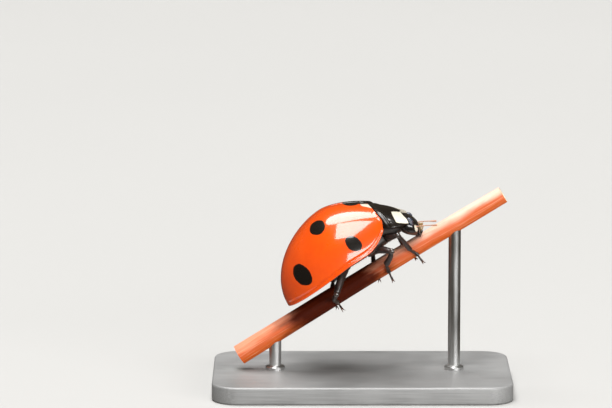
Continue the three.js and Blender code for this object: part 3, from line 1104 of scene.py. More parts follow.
class Palette:
    """Every finish of the model, each built once."""

    def __init__(self) -> None:
        """Builds the materials."""
        back_spot = Oval(BLACK, (3.12, 1.36, 2.12), (-0.14, -0.41, 0.22), (-0.36, 0.07, -0.09))
        rear_spot = Oval(BLACK, (1.47, 1.94, 0.71), (-0.19, -0.36, 0.45), (-0.34, -0.1, -0.23))
        side_spot = Oval(BLACK, (4.21, 2.28, 0.78), (-0.13, -0.09, 0.4), (-0.28, 0.1, -0.07))
        shared_spot = Oval(BLACK, (4.92, 0.0, 2.1), (0.0, 0.61, 0.0), (0.39, 0.0, 0.0))
        its_front = Oval(BLACK, (5.3, 0.0, 1.9), (0.5, 0.0, 0.0), (0.0, 0.43, 0.0))
        collar_front, collar_rear = ((0.986, -0.164, 0), 5.111), ((0.439, -0.898, 0), 1.698)
        collar = Facet(IVORY, (collar_front, collar_rear, ((0, 1, 0), 0.42), ((0, 0, 1), 1.2)))
        self.red = Cuticle(
            "wing_case_red", (0.7, 0.075, 0.002), (0.62, 0.057, 0.0015), roughness=0.3,
            coat_roughness=0.08, coat_ior=1.62, shine=0.15, pits=15.0, pit_depth=0.0016,
            swell=0.002, waver=0.1, clouds=0.6,
            marks=(back_spot, rear_spot, side_spot, shared_spot, its_front, collar),
        ).material()
        corner = Facet(IVORY, (((1, 0, 0), 6.295), ((0.803, 0.596, 0), 5.472), ((0.639, 0, 0.77), 4.397)))
        self.shield = Cuticle(
            "neck_shield", (0.006, 0.0045, 0.0035), (0.012, 0.008, 0.005), roughness=0.3, coat=0.16,
            coat_roughness=0.06, coat_ior=1.62,
            polished=Facet(BLACK, (((1, -0.31, 0), 5.47), ((-1, 0.31, 0), -5.68))), pits=20.0,
            pit_depth=0.0008, swell=0.0008, shine=0.2, waver=0.05, marks=(corner,),
        ).material()
        # An ivory mark low on each side of the face, partly a pale spot and partly a painted highlight.
        cheek_spot_and_highlight_axes = (0.037, 0.0, -0.15), (0.075, -0.055, 0.0)
        cheek_spot_and_highlight = Oval(IVORY, (6.87, 0.65, -0.36), *cheek_spot_and_highlight_axes, depth=0.3, softness=0.14)
        self.head = Cuticle(
            "head_black", BLACK, (0.012, 0.009, 0.008), roughness=0.3, coat_roughness=0.08,
            pits=22.0, pit_depth=0.0018, marks=(cheek_spot_and_highlight,),
        ).material()
        deep_black = (0.014, 0.009, 0.007)
        self.black = Cuticle("glossy_black", BLACK, deep_black, roughness=0.32, pits=24.0).material()
        flank = Oval(IVORY, (4.72, 1.3, -0.3), (0.2, 0.05, 0.0), (0.0, 0.2, 0.06), depth=0.3, softness=0.12)
        self.under = Cuticle(
            "underside_black", (0.012, 0.009, 0.008), (0.03, 0.016, 0.01), roughness=0.5, coat=0.35,
            coat_roughness=0.3, pits=18.0, pit_depth=0.003, clouds=1.2, marks=(flank,),
        ).material()
        self.leg = Cuticle(
            "leg_black", (0.012, 0.0075, 0.0065), (0.036, 0.018, 0.014), roughness=0.45, coat=0.45,
            coat_roughness=0.12, pits=24.0, pit_depth=0.002, clouds=2.2,
        ).material()
        self.knee = Cuticle(
            "knee_cap", (0.03, 0.023, 0.02), (0.05, 0.036, 0.03), roughness=0.3,
            coat_roughness=0.14, coat_ior=1.85, pits=24.0, pit_depth=0.0006, clouds=4.0,
        ).material()
        self.sole = Cuticle(
            "foot_brown", (0.014, 0.008, 0.006), (0.04, 0.018, 0.01), roughness=0.4, coat=0.6,
            coat_roughness=0.2, pits=30.0, pit_depth=0.002, clouds=3.0,
        ).material()
        self.claw = Cuticle(
            "claw_amber", (0.11, 0.035, 0.012), (0.04, 0.012, 0.006), roughness=0.3, pits=30.0, clouds=4.0
        ).material()
        self.feeler = Cuticle(
            "feeler_brown", (0.5, 0.26, 0.16), (0.34, 0.15, 0.08), roughness=0.42, coat=0.4,
            coat_roughness=0.25, pits=30.0, clouds=2.5,
        ).material()
        self.palp = Cuticle(
            "palp_brown", (0.3, 0.19, 0.07), (0.16, 0.095, 0.035), roughness=0.45, coat=0.5,
            coat_roughness=0.25, pits=30.0, clouds=3.0,
        ).material()
        # The eye is black; its blue tint is a painted sheen.
        self.eye = Cuticle(
            "eye_blue_black", (0.025, 0.032, 0.052), (0.036, 0.044, 0.066), roughness=0.3,
            coat_roughness=0.1, pits=40.0, pit_depth=0.0004,
        ).material()
        self.bristle = Plain("bristle_brown", (0.06, 0.042, 0.026), 0.5).material()
        self.bark = Bark().material()
        self.pith = Pith().material()
        self.base = Steel("base_steel", (0.35, 22.0, 22.0), (0.27, 0.27, 0.267), 0.52, 0.3).material()
        self.rod = Steel("rod_steel", (22.0, 22.0, 0.5)).material()
        self.floor = Plain("pale_floor", (0.42, 0.416, 0.404), 0.95, clouds=6.0, spread=0.02).material()


# ---- what repeats


@dataclass
class Growths:
    """Geometry trees for what repeats: lenses of an eye, beads of a feeler and bristles of a skin."""

    spike_uv_size: float = 0.003  # size of a bristle on the sheet of surface coordinates
    lens_tree: NodeTree = field(init=False)
    bead_tree: NodeTree = field(init=False)
    bristle_tree: NodeTree = field(init=False)

    def __post_init__(self) -> None:
        """Builds the trees."""
        self.lens_tree = self._lenses()
        self.bead_tree = self._beads()
        self.bristle_tree = self._bristles()

    @staticmethod
    def _started(name: str, inputs: dict[str, str]) -> Tree:
        """Starts a tree that takes a geometry, a material and some sizes."""
        geometry = {"Geometry": "Geometry"}
        inputs = geometry | {"Material": "Material"} | inputs
        return Tree.group(name, inputs, geometry, "GeometryNodeTree")

    @staticmethod
    def _ended(tree: Tree, geometry: Socket) -> NodeTree:
        """Ends a tree in real geometry of one material.

        Args:
            tree: The tree.
            geometry: What it has made so far.

        Returns:
            The tree, ready to run.
        """
        real = tree.add("GeometryNodeRealizeInstances", {"Geometry": geometry}).outputs[0]
        links = {"Geometry": real, "Material": tree.source.outputs["Material"]}
        dressed = tree.add("GeometryNodeSetMaterial", links)
        tree.finish({"Geometry": dressed.outputs[0]})
        return tree.tree

    def _lenses(self) -> NodeTree:
        """Turns a ball of triangles into a ball of domed six-sided lenses.

        Returns:
            The tree.
        """
        tree = self._started("eye_lenses", {"Lens height": "Float", "Lens top": "Float"})
        source = tree.source.outputs
        cells = tree.add("GeometryNodeDualMesh", {"Mesh": source["Geometry"]}).outputs[0]
        links = {"Mesh": cells, "Offset Scale": source["Lens height"], "Individual": True}
        raised = tree.add("GeometryNodeExtrudeMesh", links, mode="FACES").outputs
        links = {"Geometry": raised["Mesh"], "Selection": raised["Top"], "Scale": source["Lens top"]}
        domes = tree.add("GeometryNodeScaleElements", links, domain="FACE")
        soft = tree.add("GeometryNodeSetShadeSmooth", {"Geometry": domes.outputs[0], "Shade Smooth": True})
        return self._ended(tree, soft.outputs[0])

    def _beads(self) -> NodeTree:
        """Strings beads along a line, the last ones swelling into a club.

        Returns:
            The tree.
        """
        sizes = dict.fromkeys(("Radius", "Bead length", "Club from", "Club gain"), "Float")
        tree = self._started("feeler_beads", {"Beads": "Int", **sizes})
        source = tree.source.outputs
        line = tree.add("GeometryNodeMeshToCurve", {"Mesh": source["Geometry"]}).outputs[0]
        spaced = tree.add("GeometryNodeResampleCurve", {"Curve": line, "Count": source["Beads"]})
        index = tree.add("GeometryNodeInputIndex").outputs[0]
        club_beads, first_gain = 2.0, 0.55
        club_to = tree.maths("ADD", source["Club from"], club_beads)
        swell = tree.ramped(index, source["Club from"], club_to, (1.0, source["Club gain"]))
        first = tree.maths("COMPARE", index, 0.0, 0.5)
        grown = tree.maths("ADD", swell, tree.maths("MULTIPLY", first, first_gain))
        radius = tree.maths("MULTIPLY", source["Radius"], grown)
        tangent = tree.add("GeometryNodeInputTangent").outputs[0]
        turn = tree.add("FunctionNodeAlignRotationToVector", {"Vector": tangent}, axis="Z").outputs[0]
        bead = tree.add("GeometryNodeMeshUVSphere", {"Segments": 14, "Rings": 9, "Radius": 1.0}).outputs[0]
        size = tree.joined(radius, radius, source["Bead length"])
        links = {"Points": spaced.outputs[0], "Instance": bead, "Rotation": turn, "Scale": size}
        strung = tree.add("GeometryNodeInstanceOnPoints", links)
        soft = tree.add("GeometryNodeSetShadeSmooth", {"Geometry": strung.outputs[0], "Shade Smooth": True})
        return self._ended(tree, soft.outputs[0])

    def _bristles(self) -> NodeTree:
        """Plants short bristles on a skin, leaning along one direction.

        Each bristle takes the surface coordinates of its root, spread a little over the bristle.

        Returns:
            The tree.
        """
        sizes = dict.fromkeys(("Density", "Length", "Radius"), "Float")
        tree = self._started("bristles", {**sizes, "Lean": "Vector", "Seed": "Int"})
        source = tree.source.outputs
        at_points = {"data_type": "FLOAT_VECTOR", "domain": "POINT"}
        links = {"Mesh": source["Geometry"], "Density": source["Density"], "Seed": source["Seed"]}
        roots = tree.add("GeometryNodeDistributePointsOnFaces", links, distribute_method="RANDOM").outputs
        skin_uv = tree.recalled("UVMap")
        rooted = tree.kept(roots["Points"], "root_uv", skin_uv, **at_points)

        radii = {"Vertices": 5, "Radius Top": 0.0, "Radius Bottom": source["Radius"]}
        spike = tree.add("GeometryNodeMeshCone", {**radii, "Depth": source["Length"]}).outputs["Mesh"]
        position = tree.add("GeometryNodeInputPosition").outputs[0]
        at = tree.add("ShaderNodeSeparateXYZ", {0: position}).outputs
        across = tree.maths("DIVIDE", tree.maths("DIVIDE", at[0], source["Radius"]), 2.0)
        upward = tree.maths("DIVIDE", at[2], source["Length"])
        local = tree.kept(spike, "spike_uv", tree.joined(across, upward), **at_points)

        leaning = tree.vector("ADD", roots["Normal"], source["Lean"])
        turn = tree.add("FunctionNodeAlignRotationToVector", {"Vector": leaning}, axis="Z").outputs[0]
        shortest, longest = 0.65, 1.25
        span = {2: shortest, 3: longest, "Seed": source["Seed"]}
        size = tree.add("FunctionNodeRandomValue", span, data_type="FLOAT").outputs[1]
        links = {"Points": rooted, "Instance": local, "Rotation": turn, "Scale": tree.joined(1.0, 1.0, size)}
        planted = tree.add("GeometryNodeInstanceOnPoints", links)
        real = tree.add("GeometryNodeRealizeInstances", {"Geometry": planted.outputs[0]}).outputs[0]
        small = tree.vector("MULTIPLY", tree.recalled("spike_uv"), (self.spike_uv_size,) * 3)
        baked = tree.vector("ADD", tree.recalled("root_uv"), small)
        return self._ended(tree, tree.kept(real, "OFBake", baked, data_type="FLOAT2", domain="CORNER"))

    @staticmethod
    def grow(name: str, host: Object, tree: NodeTree, values: dict) -> Object:
        """Runs a tree on a host and keeps the result as a plain mesh.

        Args:
            name: Name of the new object.
            host: The object that the tree starts from, which is removed.
            tree: The tree.
            values: The tree's inputs by name.

        Returns:
            The new object.
        """
        modifier = host.modifiers.new("growth", "NODES")
        modifier.node_group = tree
        for item in tree.interface.items_tree:
            if item.item_type == "SOCKET" and item.in_out == "INPUT" and item.name in values:
                modifier[item.identifier] = values[item.name]
        depsgraph = bpy.context.evaluated_depsgraph_get()
        mesh = bpy.data.meshes.new_from_object(host.evaluated_get(depsgraph), depsgraph=depsgraph)
        mesh.name = name
        host.modifiers.clear()
        bpy.data.objects.remove(host)
        for spare in ("root_uv", "spike_uv", "UVMap"):
            if spare in mesh.attributes:
                mesh.attributes.remove(mesh.attributes[spare])
        if not mesh.materials:
            mesh.materials.append(values["Material"])
        return placed(name, mesh)


# ---- wing cases, neck shield and scutellum


@dataclass
class WingCases:
    """The two wing cases: a dome whose lower edge is folded in and bears a raised border."""

    palette: Palette
    half_width: float = 2.6
    widest_at: float = 3.0
    front_reach: float = 3.6
    crown: float = 2.53
    crown_at: float = 3.5
    crown_fall: float = 0.237
    crown_bend: float = 1.7
    rump_bend: float = 1.75
    dome_bend: float = 2.1
    tail_level: float = -0.45
    tail_bend: float = 1.1
    shoulder_from: float = 4.4
    shoulder_rise: float = 0.32
    shoulder_share: tuple[float, float] = (0.3, 0.75)
    shoulder_fall: Ridge = Ridge(0.035, 0.0, 0.45)
    front_edge: float = 5.47
    front_slant: float = 0.36
    corner: float = 0.15
    corner_bend: float = 60.0
    notch: float = 0.3
    notch_share: float = 0.11
    seam: float = 0.02
    seam_dip: Ridge = Ridge(-0.022, 0.0, 0.03)
    wall: float = 0.13
    fold: float = 0.38
    fold_reach: float = 0.22
    tail_wall: float = 0.03
    tail_fold: float = 0.04
    wall_grows: tuple[float, float] = (0.0, 0.5)
    fold_grows: tuple[float, float] = (0.05, 2.2)
    border: Ridge = Ridge(0.034, 0.045, 0.045)
    groove: Ridge = Ridge(-0.04, 0.165, 0.06)
    front_border: float = 0.12
    border_turn: tuple[float, float] = (-0.1, 0.25)
    inner_gap: float = 0.6
    edge_fall: float = 0.025
    edge_reach: float = 0.03
    blend: float = 0.05

    def half_outline(self, x: Grid) -> Grid:
        """Half of the outline's width at a distance from the tail."""
        reach = np.where(x < self.widest_at, self.widest_at, self.front_reach)
        return self.half_width * np.sqrt(np.maximum(0, 1 - ((x - self.widest_at) / reach) ** 2))

    def edge_level(self, x: Grid) -> Grid:
        """Level of the lower edge."""
        drop = self.tail_level * np.maximum(0, 1 - x / self.crown_at) ** self.tail_bend
        return drop + self.shoulder_rise * np.maximum(0, x - self.shoulder_from) ** 2

    def back_level(self, x: Grid) -> Grid:
        """Level of the back along the middle.

        Args:
            x: Distances from the tail.

        Returns:
            The levels.
        """
        share = np.clip((self.crown_at - x) / self.crown_at, 0, 1)
        behind = self.tail_level + (self.crown - self.tail_level) * np.sqrt(1 - share**self.rump_bend)
        ahead = self.crown - self.crown_fall * np.maximum(0, x - self.crown_at) ** self.crown_bend
        return np.where(x > self.crown_at, ahead, behind)

    def front_line(self, share: Grid) -> Grid:
        """Distance of the front edge from the tail."""
        notch = self.notch * np.maximum(0, 1 - share / self.notch_share)
        return self.front_edge + self.front_slant * share - self.corner * share**self.corner_bend - notch

    def surface(self, along: Grid, across: Grid) -> Grid:
        """Points of the left wing case's smooth outer surface.

        Args:
            along: Shares from the tail to the front edge.
            across: Shares from the seam to the margin.

        Returns:
            The points.
        """
        share = np.sin(across * math.pi / 2)
        x = self.front_line(share) * (1 - np.cos(along * math.pi / 2))
        rise = np.sqrt(np.maximum(0, 1 - share**self.dome_bend))
        y = self.seam / 2 + (self.half_outline(x) - self.seam / 2) * share
        edge = self.edge_level(x)
        return np.stack([x, y, edge + (self.back_level(x) - edge) * rise], -1)

    def case(self) -> tuple[Grid, Grid]:
        """The left wing case, with its border, groove and folded edge.

        Returns:
            Its outer and its inner grid of points.
        """
        along = graded((0.02, 0.95, 1.0), (112, 16))[:, None]
        across = graded((0.0, 0.03, 0.92, 1.0), (5, 80, 28))[None]
        outer = self.surface(along, across)
        normal = grid_normals(outer)
        margin = walked(outer, 1, True)
        share = np.sin(across * math.pi / 2)
        shoulder = smooth(share, *self.shoulder_share)
        fall = shoulder * self.shoulder_fall.over(self.front_line(share) - outer[..., 0])
        front = walked(outer, 0, True) + self.inner_gap * (1 - shoulder)
        edge = nearer(margin, front, self.blend)
        strength = self.front_border + (1 - self.front_border) * smooth(front - margin, *self.border_turn)
        raised = strength * (self.border.over(edge) + self.groove.over(edge))
        raised += self.seam_dip.over(walked(outer, 1, False))
        raised -= rounding(edge, self.edge_fall, self.edge_reach)
        body = smooth(outer[..., 0], *self.wall_grows)
        dressed = outer + normal * (raised * body - fall)[..., None]
        wall = self.tail_wall + (self.wall - self.tail_wall) * body
        fold = self.tail_fold + (self.fold - self.tail_fold) * smooth(outer[..., 0], *self.fold_grows)
        depth = wall + np.maximum(0, fold - wall) * bell(margin, 0, self.fold_reach)
        inner = dressed - normal * depth[..., None]
        for grid in (dressed, inner):
            grid[..., 1] = np.maximum(grid[..., 1], self.seam / 2)
        return dressed, inner

    def build(self) -> None:
        """Builds and dresses both wing cases."""
        outer, inner = self.case()
        for side in Side:
            patch = Patch.of_plate(outer * side.mirror, inner * side.mirror, folds=(1, 6))
            front_wall = outer.shape[1] - 1  # its faces come last
            # The front wall, seen in the gap under the neck shield, takes the dark underside finish as
            # painted shade; the real wing case is orange there.
            patch.quad_look[-front_wall:] = 1
            node = "elytron_" + side.word
            piece = patch.build(node + "_case", [self.palette.red, self.palette.under])
            enter(piece, Slot.SHELL_RED, node)


@dataclass
class NeckShield:
    """The pronotum, a domed shield with a fine raised border, and its inward-turned lower sides."""

    palette: Palette
    rear_edge: float = 5.46
    front_edge: float = 6.6
    corner_reach: float = 0.14
    rear_slant: float = 0.21
    slant_to: float = 1.45
    half_width: float = 1.76
    front_taper: float = 0.26
    rear_taper: float = 0.02
    taper_bend: float = 2.4
    corner_at: float = 1.1
    rear_level: float = 1.65
    back_slope: float = 0.63
    back_curve: float = 0.24
    side_level: float = 0.61
    side_slope: float = 0.4
    wall: float = 0.12
    fold: float = 0.5
    fold_reach: float = 0.3
    border: Ridge = Ridge(0.006, 0.05, 0.04)
    groove: Ridge = Ridge(-0.006, 0.13, 0.05)
    tuck: Ridge = Ridge(-0.05, 0.0, 0.07)
    ridge: Ridge = Ridge(0.03, 0.1, 0.04)
    ridge_slant: float = 0.1
    edge_inset: float = 0.03
    edge_fall: float = 0.02
    edge_reach: float = 0.03
    blend: float = 0.04

    def back_level(self, x: Grid) -> Grid:
        """Level of the shield along the middle."""
        ahead = x - self.rear_edge
        return self.rear_level - self.back_slope * ahead - self.back_curve * ahead**2

    def surface(self, along: Grid, across: Grid) -> Grid:
        """Points of the smooth outer surface.

        Args:
            along: Shares from the rear edge to the front edge.
            across: Shares from the right margin, -1, to the left margin, 1.

        Returns:
            The points.
        """
        narrowing = 1 - self.front_taper * along**self.taper_bend - self.rear_taper * (1 - along)
        y = self.half_width * narrowing * across
        out = np.abs(y)
        rear = self.rear_edge + self.rear_slant * np.minimum(out, self.slant_to)
        front = self.front_edge + self.corner_reach * np.minimum(out / self.corner_at, 1) ** 2
        x = rear + (front - rear) * along
        side = self.side_level - self.side_slope * (x - self.rear_edge)
        rise = np.sqrt(np.maximum(0, 1 - across**2))
        return np.stack([x, y, side + (self.back_level(x) - side) * rise], -1)

    def build(self) -> None:
        """Builds and dresses the shield."""
        along = close_ended(110)[:, None]
        across = np.sin(np.linspace(-0.5, 0.5, 161) * math.pi)[None]
        outer = self.surface(along, across)
        normal = grid_normals(outer)
        sides = np.minimum(walked(outer, 1, True), walked(outer, 1, False))
        rear, front = walked(outer, 0, False), walked(outer, 0, True)
        edge = nearer(sides, front + self.edge_inset, self.blend)
        raised = self.border.over(edge) + self.groove.over(edge) + self.tuck.over(rear)
        raised += self.ridge.over(rear - self.ridge_slant * np.abs(outer[..., 1]))
        raised -= rounding(edge, self.edge_fall, self.edge_reach)
        dressed = outer + normal * raised[..., None]
        depth = self.wall + (self.fold - self.wall) * bell(sides, 0, self.fold_reach)
        inner = dressed - normal * depth[..., None]
        patch = Patch.of_plate(dressed, inner, folds=(5, 5))
        enter(patch.build("pronotum_shield", [self.palette.shield]), Slot.SHELL_BLACK, "pronotum")


@dataclass
class Scutellum:
    """The small black triangle between the wing cases and the neck shield."""

    palette: Palette
    cases: WingCases
    start: float = 5.2
    length: float = 0.27
    half_width: float = 0.16
    tip_share: float = 0.08
    side_bend: float = 0.85
    dome: float = 0.035
    sunk: float = 0.012
    thickness: float = 0.2

    def build(self) -> None:
        """Builds and dresses the triangle."""
        along = np.linspace(0, 1, 18)[:, None]
        across = np.linspace(-1, 1, 19)[None]
        x = self.start + self.length * along + 0 * across
        width = self.half_width * (self.tip_share + (1 - self.tip_share) * along**self.side_bend)
        dome = self.dome * (1 - across**2) * np.sqrt(np.clip(4 * along * (1.05 - along), 0, 1))
        top = self.cases.back_level(x) - self.sunk + dome
        outer = np.stack([x, width * across, top], -1)
        inner = outer - np.array([0, 0, self.thickness])
        patch = Patch.of_plate(outer, inner, folds=(2, 2))
        enter(patch.build("scutellum_plate", [self.palette.black]), Slot.SHELL_BLACK, "scutellum")


# ---- head


@dataclass
class Head:
    """The head: a blunt capsule, faceted eyes, beaded feelers, hatchet palps and mouthparts."""

    palette: Palette
    growths: Growths
    # for each level of the capsule, its height, its front, its back and its half-width
    levels: tuple[tuple[float, float, float, float], ...] = (
        (0.49, 6.56, 6.36, 0.16),
        (0.44, 6.67, 6.27, 0.4),
        (0.34, 6.79, 6.2, 0.6),
        (0.18, 6.9, 6.14, 0.77),
        (0.0, 6.98, 6.12, 0.84),
        (-0.2, 7.03, 6.16, 0.84),
        (-0.38, 7.03, 6.27, 0.75),
        (-0.53, 7.0, 6.4, 0.6),
        (-0.65, 6.96, 6.54, 0.45),
        (-0.73, 6.91, 6.64, 0.3),
    )
    squareness: float = 2.35  # power that makes the capsule's outline from above squarer than an oval
    # groove above the mouth, by height, which bends down to the sides
    mouth_seam: Ridge = Ridge(-0.022, -0.52, 0.028)
    mouth_bend: float = 0.3
    face_hollow: Ridge = Ridge(-0.03, 0.0, 0.16)  # hollow between the eyes, by distance from the middle
    # dent that a feeler starts in, by distance from the middle, and its height
    socket: Ridge = Ridge(-0.05, 0.54, 0.09)
    socket_level: float = -0.3
    eye_centre: Point = (6.77, 0.69, 0.04)
    eye_radii: Point = (0.16, 0.145, 0.22)
    lens_height: float = 0.0025
    lens_top: float = 0.8
    beads: int = 11
    bead_radius: float = 0.026
    bead_length: float = 0.058
    club_from: float = 7.0
    club_gain: float = 1.75
    feeler_path: tuple[Point, ...] = ((6.9, 0.55, -0.31), (7.3, 0.54, -0.5), (7.7, 0.53, -0.73))
    palp_path: tuple[Point, ...] = ((6.74, 0.4, -0.72), (6.95, 0.4, -0.68), (7.06, 0.36, -0.5))

    def capsule(self) -> Patch:
        """The head capsule, with the seam above the mouth and shallow dents for the feelers.

        Returns:
            The patch.
        """
        height, front, back, width = np.array(self.levels).T
        knots = np.linspace(0, 1, len(height))
        shares = close_ended(40)
        z, ahead, behind, wide = (np.interp(shares, knots, v) for v in (height, front, back, width))
        for _ in range(3):
            for values in (z, ahead, behind, wide):
                values[1:-1] = (values[:-2] + 2 * values[1:-1] + values[2:]) / 4
        angle = full_turn(72)[None]
        power = 2 / self.squareness
        forward = np.sign(np.cos(angle)) * np.abs(np.cos(angle)) ** power
        aside = np.sign(np.sin(angle)) * np.abs(np.sin(angle)) ** power
        x = ((ahead + behind) / 2)[:, None] + ((ahead - behind) / 2)[:, None] * forward
        y = wide[:, None] * aside
        z = z[:, None] + 0 * angle
        face = np.clip(forward, 0, 1)
        x += face * self.mouth_seam.over(z + self.mouth_bend * y**2)
        x += face * self.face_hollow.over(y) * bell(z, 0.0, 0.3)
        x += face * self.socket.over(np.abs(y)) * bell(z, self.socket_level, self.socket.width)
        return Patch.of_rings(np.stack([x, y, z], -1))

    def eye(self, side: Side) -> None:
        """Builds and dresses one faceted eye, notched where the feeler starts.

        Args:
            side: The side of the head.
        """
        work = bmesh.new()
        bmesh.ops.create_icosphere(work, subdivisions=4, radius=1.0)
        mesh = bpy.data.meshes.new("eye_ball")
        work.to_mesh(mesh)
        work.free()
        ball = np.array([v.co for v in mesh.vertices])
        notch = bell(ball[:, 0], 0.75, 0.35) * bell(ball[:, 2], -0.5, 0.35)
        ball *= 1 - 0.2 * notch[:, None]
        points = ball * np.array(self.eye_radii) + np.array(self.eye_centre)
        points = BODY.to_row(points * side.mirror) * METRES
        mesh.vertices.foreach_set("co", points.ravel())
        face_outwards(mesh)
        values = {
            "Material": self.palette.eye,
            "Lens height": self.lens_height * METRES,
            "Lens top": self.lens_top,
        }
        node, host = "eye_" + side.word, placed("eye_host", mesh)
        eye = self.growths.grow(node + "_lenses", host, self.growths.lens_tree, values)
        enter(eye, Slot.EYE, node)

    def feeler(self, side: Side) -> None:
        """Builds and dresses one beaded feeler that ends in a small club.

        Args:
            side: The side of the head.
        """
        path = curve_through(self.feeler_path, np.linspace(0, 1, 24)) * side.mirror
        mesh = bpy.data.meshes.new("feeler_line")
        points = BODY.to_row(path) * METRES
        mesh.from_pydata(points.tolist(), [(i, i + 1) for i in range(len(path) - 1)], [])
        values = {
            "Material": self.palette.feeler,
            "Beads": self.beads,
            "Radius": self.bead_radius * METRES,
            "Bead length": self.bead_length * METRES,
            "Club from": self.club_from,
            "Club gain": self.club_gain,
        }
        node, host = "antenna_" + side.word, placed("feeler_host", mesh)
        feeler = self.growths.grow(node + "_beads", host, self.growths.bead_tree, values)
        enter(feeler, Slot.FEELER, node)

    def palp(self, side: Side) -> None:
        """Builds and dresses one palp: two short joints and a hatchet-shaped end.

        Args:
            side: The side of the head.
        """
        shares = close_ended(14)
        path = curve_through(self.palp_path, np.linspace(0, 1, 41)) * side.mirror
        patches = []
        for start, stop, radius in ((0, 17, 0.06), (14, 31, 0.065)):
            size = radius * domed(shares, 0.3) * (0.8 + 0.3 * shares)
            joint = resampled(path[start:stop], shares)
            patches.append(Patch.of_rings(swept(joint, size, size, (0, 1, 0), 16)))
        blade_from, blade_to = path[27], path[-1] + np.array([0.03, -0.01 * side.value, 0.1])
        blade = blade_from + (blade_to - blade_from) * shares[:, None]
        wide = (0.045 + 0.11 * shares) * domed(shares, 0.18)
        deep = 0.05 * domed(shares, 0.3)
        facing = (0.2, side.value, 0.1)
        patches.append(Patch.of_rings(swept(blade, wide, deep, facing)).painted(1))
        node = "palp_" + side.word
        piece = Patch.joined(patches).build(node + "_hatchet", [self.palette.black, self.palette.palp])
        enter(piece, Slot.FEELER, node)

    def lip(self) -> None:
        """Builds and dresses the upper lip, a flat plate with a shallow notch in its lower edge."""
        patch = ellipsoid((6.85, 0, -0.68), (0.115, 0.3, 0.19), 18, 32)
        points = patch.points
        points[:, 2] += 0.04 * bell(points[:, 1], 0, 0.08) * smooth(-points[:, 2], 0.7, 0.85)
        points[:, 0] -= 0.02 * bell(points[:, 2], -0.6, 0.03)
        enter(patch.build("labrum_plate", [self.palette.head]), Slot.SHELL_BLACK, "labrum")

    def mandible(self, side: Side) -> None:
        """Builds and dresses one mandible, a short hook that closes towards the middle.

        Args:
            side: The side of the head.
        """
        hook = ((6.66, 0.3, -0.66), (6.8, 0.26, -0.8), (6.85, 0.08, -0.9))
        shares = close_ended(20)
        path = curve_through(hook, shares) * side.mirror
        size = 0.1 * (1 - 0.75 * shares) * domed(shares, 0.2)
        node = "mandible_" + side.word
        patch = Patch.of_rings(swept(path, size, size * 0.8, (1, 0, 0), 16))
        enter(patch.build(node + "_hook", [self.palette.black]), Slot.FEELER, node)

    def build(self) -> None:
        """Builds and dresses the head."""
        enter(self.capsule().build("head_capsule", [self.palette.head]), Slot.SHELL_BLACK, "head")
        self.lip()
        for side in Side:
            self.eye(side)
            self.feeler(side)
            self.palp(side)
            self.mandible(side)


# ---- trunk


